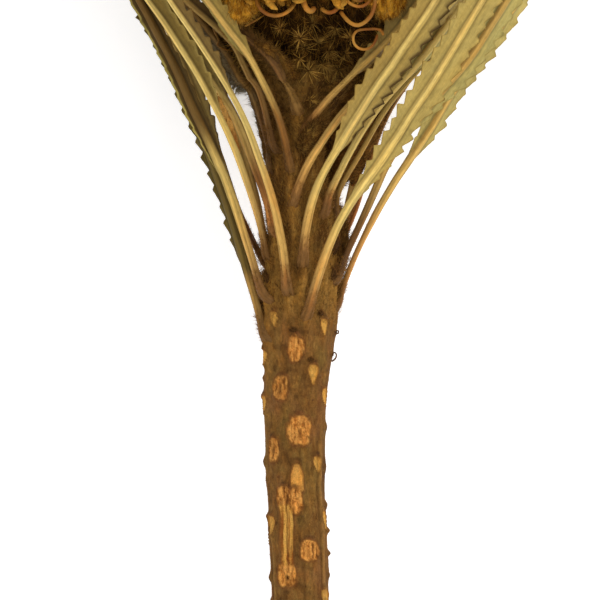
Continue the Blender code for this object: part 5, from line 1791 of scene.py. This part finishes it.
# fat woolly flower ends that show at the two lower corners of the cone
fat = []
TUFTS = [(-66, 640, -61, 574, 3.7), (-74, 632, -72, 585, 2.0),
         (-47, 632, -47, 583, 1.7), (-36, 622, -34, 594, 1.4),
         (-24, 622, -24, 596, 1.5), (-12, 622, -14, 597, 1.4),
         (79, 628, 84, 578, 1.7), (89, 628, 93, 580, 1.8),
         (70, 622, 76, 588, 1.4), (99, 628, 99, 588, 1.4),
         (60, 622, 62, 600, 1.3)]
for i, (a0, b0, a1, b1, rw) in enumerate(TUFTS):
    big = rw > 3
    n_, m_ = (40, 56) if big else (22, 26)
    f = np.linspace(0, 1, n_)
    p0 = np.array([a0 * GRID, b0 * GRID, (14.0 + 0.4 * (i % 3)) * MM])
    p1 = np.array([a1 * GRID, b1 * GRID, (14.2 + 0.5 * (i % 4)) * MM])
    q_ = p0 + (p1 - p0) * f[:, None]
    q_[:, 2] += np.sin(f * np.pi) * 0.8 * MM
    rd = rw * MM * (0.62 + 0.38 * np.sin(f * np.pi * 0.62))
    rd = rd * np.sqrt(np.clip(1 - ((f - 0.72) / 0.285).clip(0, 1) ** 2,
                              0.002, 1))
    V_, F_ = tubes(q_[None], rd[None], m_)
    ctr = np.repeat(q_, m_, 0)
    nn0 = unit(V_ - ctr)
    fa = np.repeat(f, m_)
    # fine wool, combed towards the free end
    lock = noise(np.stack([V_[:, 0], V_[:, 1] * 0.22, V_[:, 2]], 1),
                 0.0008, 350 + i, 2)
    fur = noise(np.stack([V_[:, 0], V_[:, 1] * 0.12, V_[:, 2]], 1),
                0.00028, 380 + i, 2)
    V_ = V_ + nn0 * (0.16 * MM * lock + 0.09 * MM * fur)[:, None]
    c1 = mix(np.broadcast_to(srgb(124, 78, 16), V_.shape),
             srgb(208, 150, 46), ramp(fur + 0.6 * lock, -0.5, 0.6))
    c1 = mix(c1, srgb(92, 58, 14), 0.55 * ramp(lock, 0.2, 0.6))
    fat.append((V_, F_, c1))
    cnt = 2200 if big else 420
    vi = rng.integers(m_ * 2, len(V_) - m_, cnt)
    nn = unit(V_[vi] - ctr[vi] + np.array([0, -0.0006, 0])
              * (fa[vi] > 0.8)[:, None])
    HAIRS.append((V_[vi], unit(nn * 0.34 + rng.normal(0, .22, (cnt, 3))
                               + np.array([0, -1.0, 0])
                               * (1.15 - fa[vi])[:, None] * 1.4), nn,
                  0.0012 * rng.uniform(.5, 1.3, cnt),
                  np.full(cnt, 0.000045),
                  mix(np.broadcast_to(srgb(120, 78, 20), (cnt, 3)),
                      srgb(222, 176, 84), rng.random(cnt) ** 1.3)))
V_, F_, C_ = join_parts(fat)
spike_piece("spike_tufts", V_, F_, C_, M_WOOL)

# ---- the hollow under the cone: dark hair and little starry bracts
r = np.random.default_rng(91)
cnt = 9000
w_ = r.uniform(108.5, 134, cnt) * MM
a_ = r.uniform(0, 2 * np.pi, cnt)
base = cone_point(w_, a_, 1.2 * MM)
nn = cone_normal(w_, a_)
HAIRS.append((base, unit(nn + r.normal(0, .55, (cnt, 3))
                         + np.array([0, -0.25, 0])), nn,
              0.0028 * r.uniform(.5, 1.4, cnt), np.full(cnt, 0.00005),
              mix(np.broadcast_to(srgb(48, 29, 9), (cnt, 3)),
                  srgb(158, 116, 46), r.random(cnt) ** 2.4)))
STARS = [(22, 534, 1.0), (30, 515, .9), (0, 540, .9), (-15, 530, .8),
         (18, 555, 1.0), (45, 545, .9), (0, 560, .9), (-25, 550, .9),
         (35, 570, .8), (-10, 505, .8), (10, 500, .8), (50, 560, .8),
         (12, 575, .9), (-20, 570, .7), (38, 530, .9), (28, 548, 1.1),
         (8, 528, 1.0), (-32, 538, .8), (60, 552, .7), (5, 550, .8)]
star_c = []
for a, b, sz in STARS:
    w0 = b * GRID
    R = float(body_radius(np.array(w0))) + 1.0 * MM
    u = a * GRID - CONE_OFFSET
    v = math.sqrt(max(R * R - u * u, (0.4 * R) ** 2))
    star_c.append((np.array([CONE_OFFSET + u, w0, v]),
                   unit(np.array([u, -0.25 * R, v])), sz))
for k in range(230):
    w0 = r.uniform(106, 126) * MM
    a0 = r.uniform(0, 2 * np.pi)
    if math.cos(a0) > 0.35:
        continue
    star_c.append((cone_point(np.array(max(w0, 108.4 * MM)), np.array(a0),
                              -0.3 * MM), cone_normal(
        np.array(max(w0, 108.4 * MM)), np.array(a0)), r.uniform(.7, 1.1)))
for ctr, n0, sz in star_c:
    cnt = int(r.integers(24, 52))
    lean = r.normal(0, 0.55, 3)
    dirs = unit(r.normal(0, 1, (cnt, 3)) + n0 * 0.55 + lean)
    HAIRS.append((np.repeat(ctr[None], cnt, 0) + dirs * 0.0002, dirs, dirs,
                  0.0026 * sz * r.uniform(.6, 1.35, cnt),
                  np.full(cnt, 0.00008),
                  mix(np.broadcast_to(srgb(88, 58, 19), (cnt, 3)),
                      srgb(206, 162, 78), r.random(cnt) ** 1.4)
                  * r.uniform(0.50, 1.20)))

# ---- all hair in one go, in pieces of a fair size
base = np.concatenate([h[0] for h in HAIRS])
dirs = np.concatenate([h[1] for h in HAIRS])
nrms = np.concatenate([h[2] for h in HAIRS])
lens = np.concatenate([h[3] for h in HAIRS])
thk = np.concatenate([h[4] for h in HAIRS])
cols = np.concatenate([np.broadcast_to(h[5], h[0].shape) for h in HAIRS])
print("hairs", len(base))
K = 3
droop = unit(rng.normal(0, 1, base.shape))
f = np.linspace(0, 1, K)
paths = base[:, None] + dirs[:, None] * (lens[:, None] * f)[..., None] \
    + droop[:, None] * (lens[:, None] * 0.28 * f ** 2)[..., None]
radii = thk[:, None] * (1 - 0.80 * f)[None]
step = 13500
for k in range(0, len(base), step):
    e = min(k + step, len(base))
    V_, F_ = tubes(paths[k:e], radii[k:e], 3)
    C_ = np.repeat(cols[k:e], K * 3, 0)
    ob = make_mesh("hair_%02d" % (k // step), keep_off_ground(to_world(V_)),
                   F_, np.clip(C_, .002, 1), material=M_HAIR)
    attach(ob, "root")

# =====================================================================
# Studio: floor, light, camera
# =====================================================================
sc = bpy.context.scene
sc.view_settings.view_transform = "Standard"
sc.view_settings.look = "None"
sc.view_settings.exposure = 0
sc.view_settings.gamma = 1

fl = bpy.data.meshes.new("floor")
F = 6.0
fl.from_pydata([(-F, -F, 0), (F, -F, 0), (F, F, 0), (-F, F, 0)], [],
               [(0, 1, 2, 3)])
floor = bpy.data.objects.new("floor", fl)
sc.collection.objects.link(floor)
fm = bpy.data.materials.new("floor_paper")
fm.use_nodes = True
fb = fm.node_tree.nodes["Principled BSDF"]
fb.inputs["Base Color"].default_value = (0.92, 0.92, 0.92, 1)
fb.inputs["Roughness"].default_value = 0.9
fb.inputs["Specular IOR Level"].default_value = 0.0
fb.inputs["Emission Color"].default_value = (1, 1, 1, 1)
fb.inputs["Emission Strength"].default_value = 0.50
fl.materials.append(fm)

world = bpy.data.worlds.new("studio")
sc.world = world
world.use_nodes = True
bg = world.node_tree.nodes["Background"]
bg.inputs["Color"].default_value = (1, 1, 1, 1)
bg.inputs["Strength"].default_value = 0.70


def soft_sun(name, toward, power, spread, colour=(1, 1, 1)):
    li = bpy.data.lights.new(name, "SUN")
    li.energy = power
    li.angle = math.radians(spread)
    li.color = colour
    ob = bpy.data.objects.new(name, li)
    sc.collection.objects.link(ob)
    ob.rotation_euler = Vector(toward).to_track_quat("-Z", "Y").to_euler()
    return ob


from mathutils import Matrix, Vector  # noqa: E402
soft_sun("key", (-0.75, -0.25, -1.0), 1.35, 50, (1.0, 0.985, 0.95))
soft_sun("fill", (0.9, 0.5, -1.0), 0.35, 60)

cam_d = 2.5
cam = bpy.data.cameras.new("camera")
cam.sensor_width = 36
cam.lens = 36 * cam_d / 0.125
cam.clip_start = 0.05
cam.clip_end = 50
co = bpy.data.objects.new("camera", cam)
sc.collection.objects.link(co)
eye = to_world(np.array([0.0, 62.5 * MM, cam_d]))
aim = to_world(np.array([0.0, 62.5 * MM, 0.0]))
upv = Vector((0, CT_, ST_))
zax = (Vector(eye) - Vector(aim)).normalized()
xax = upv.cross(zax).normalized()
yax = zax.cross(xax)
co.matrix_world = Matrix((
    (xax.x, yax.x, zax.x, eye[0]), (xax.y, yax.y, zax.y, eye[1]),
    (xax.z, yax.z, zax.z, eye[2]), (0, 0, 0, 1)))
sc.camera = co

bpy.context.view_layer.update()
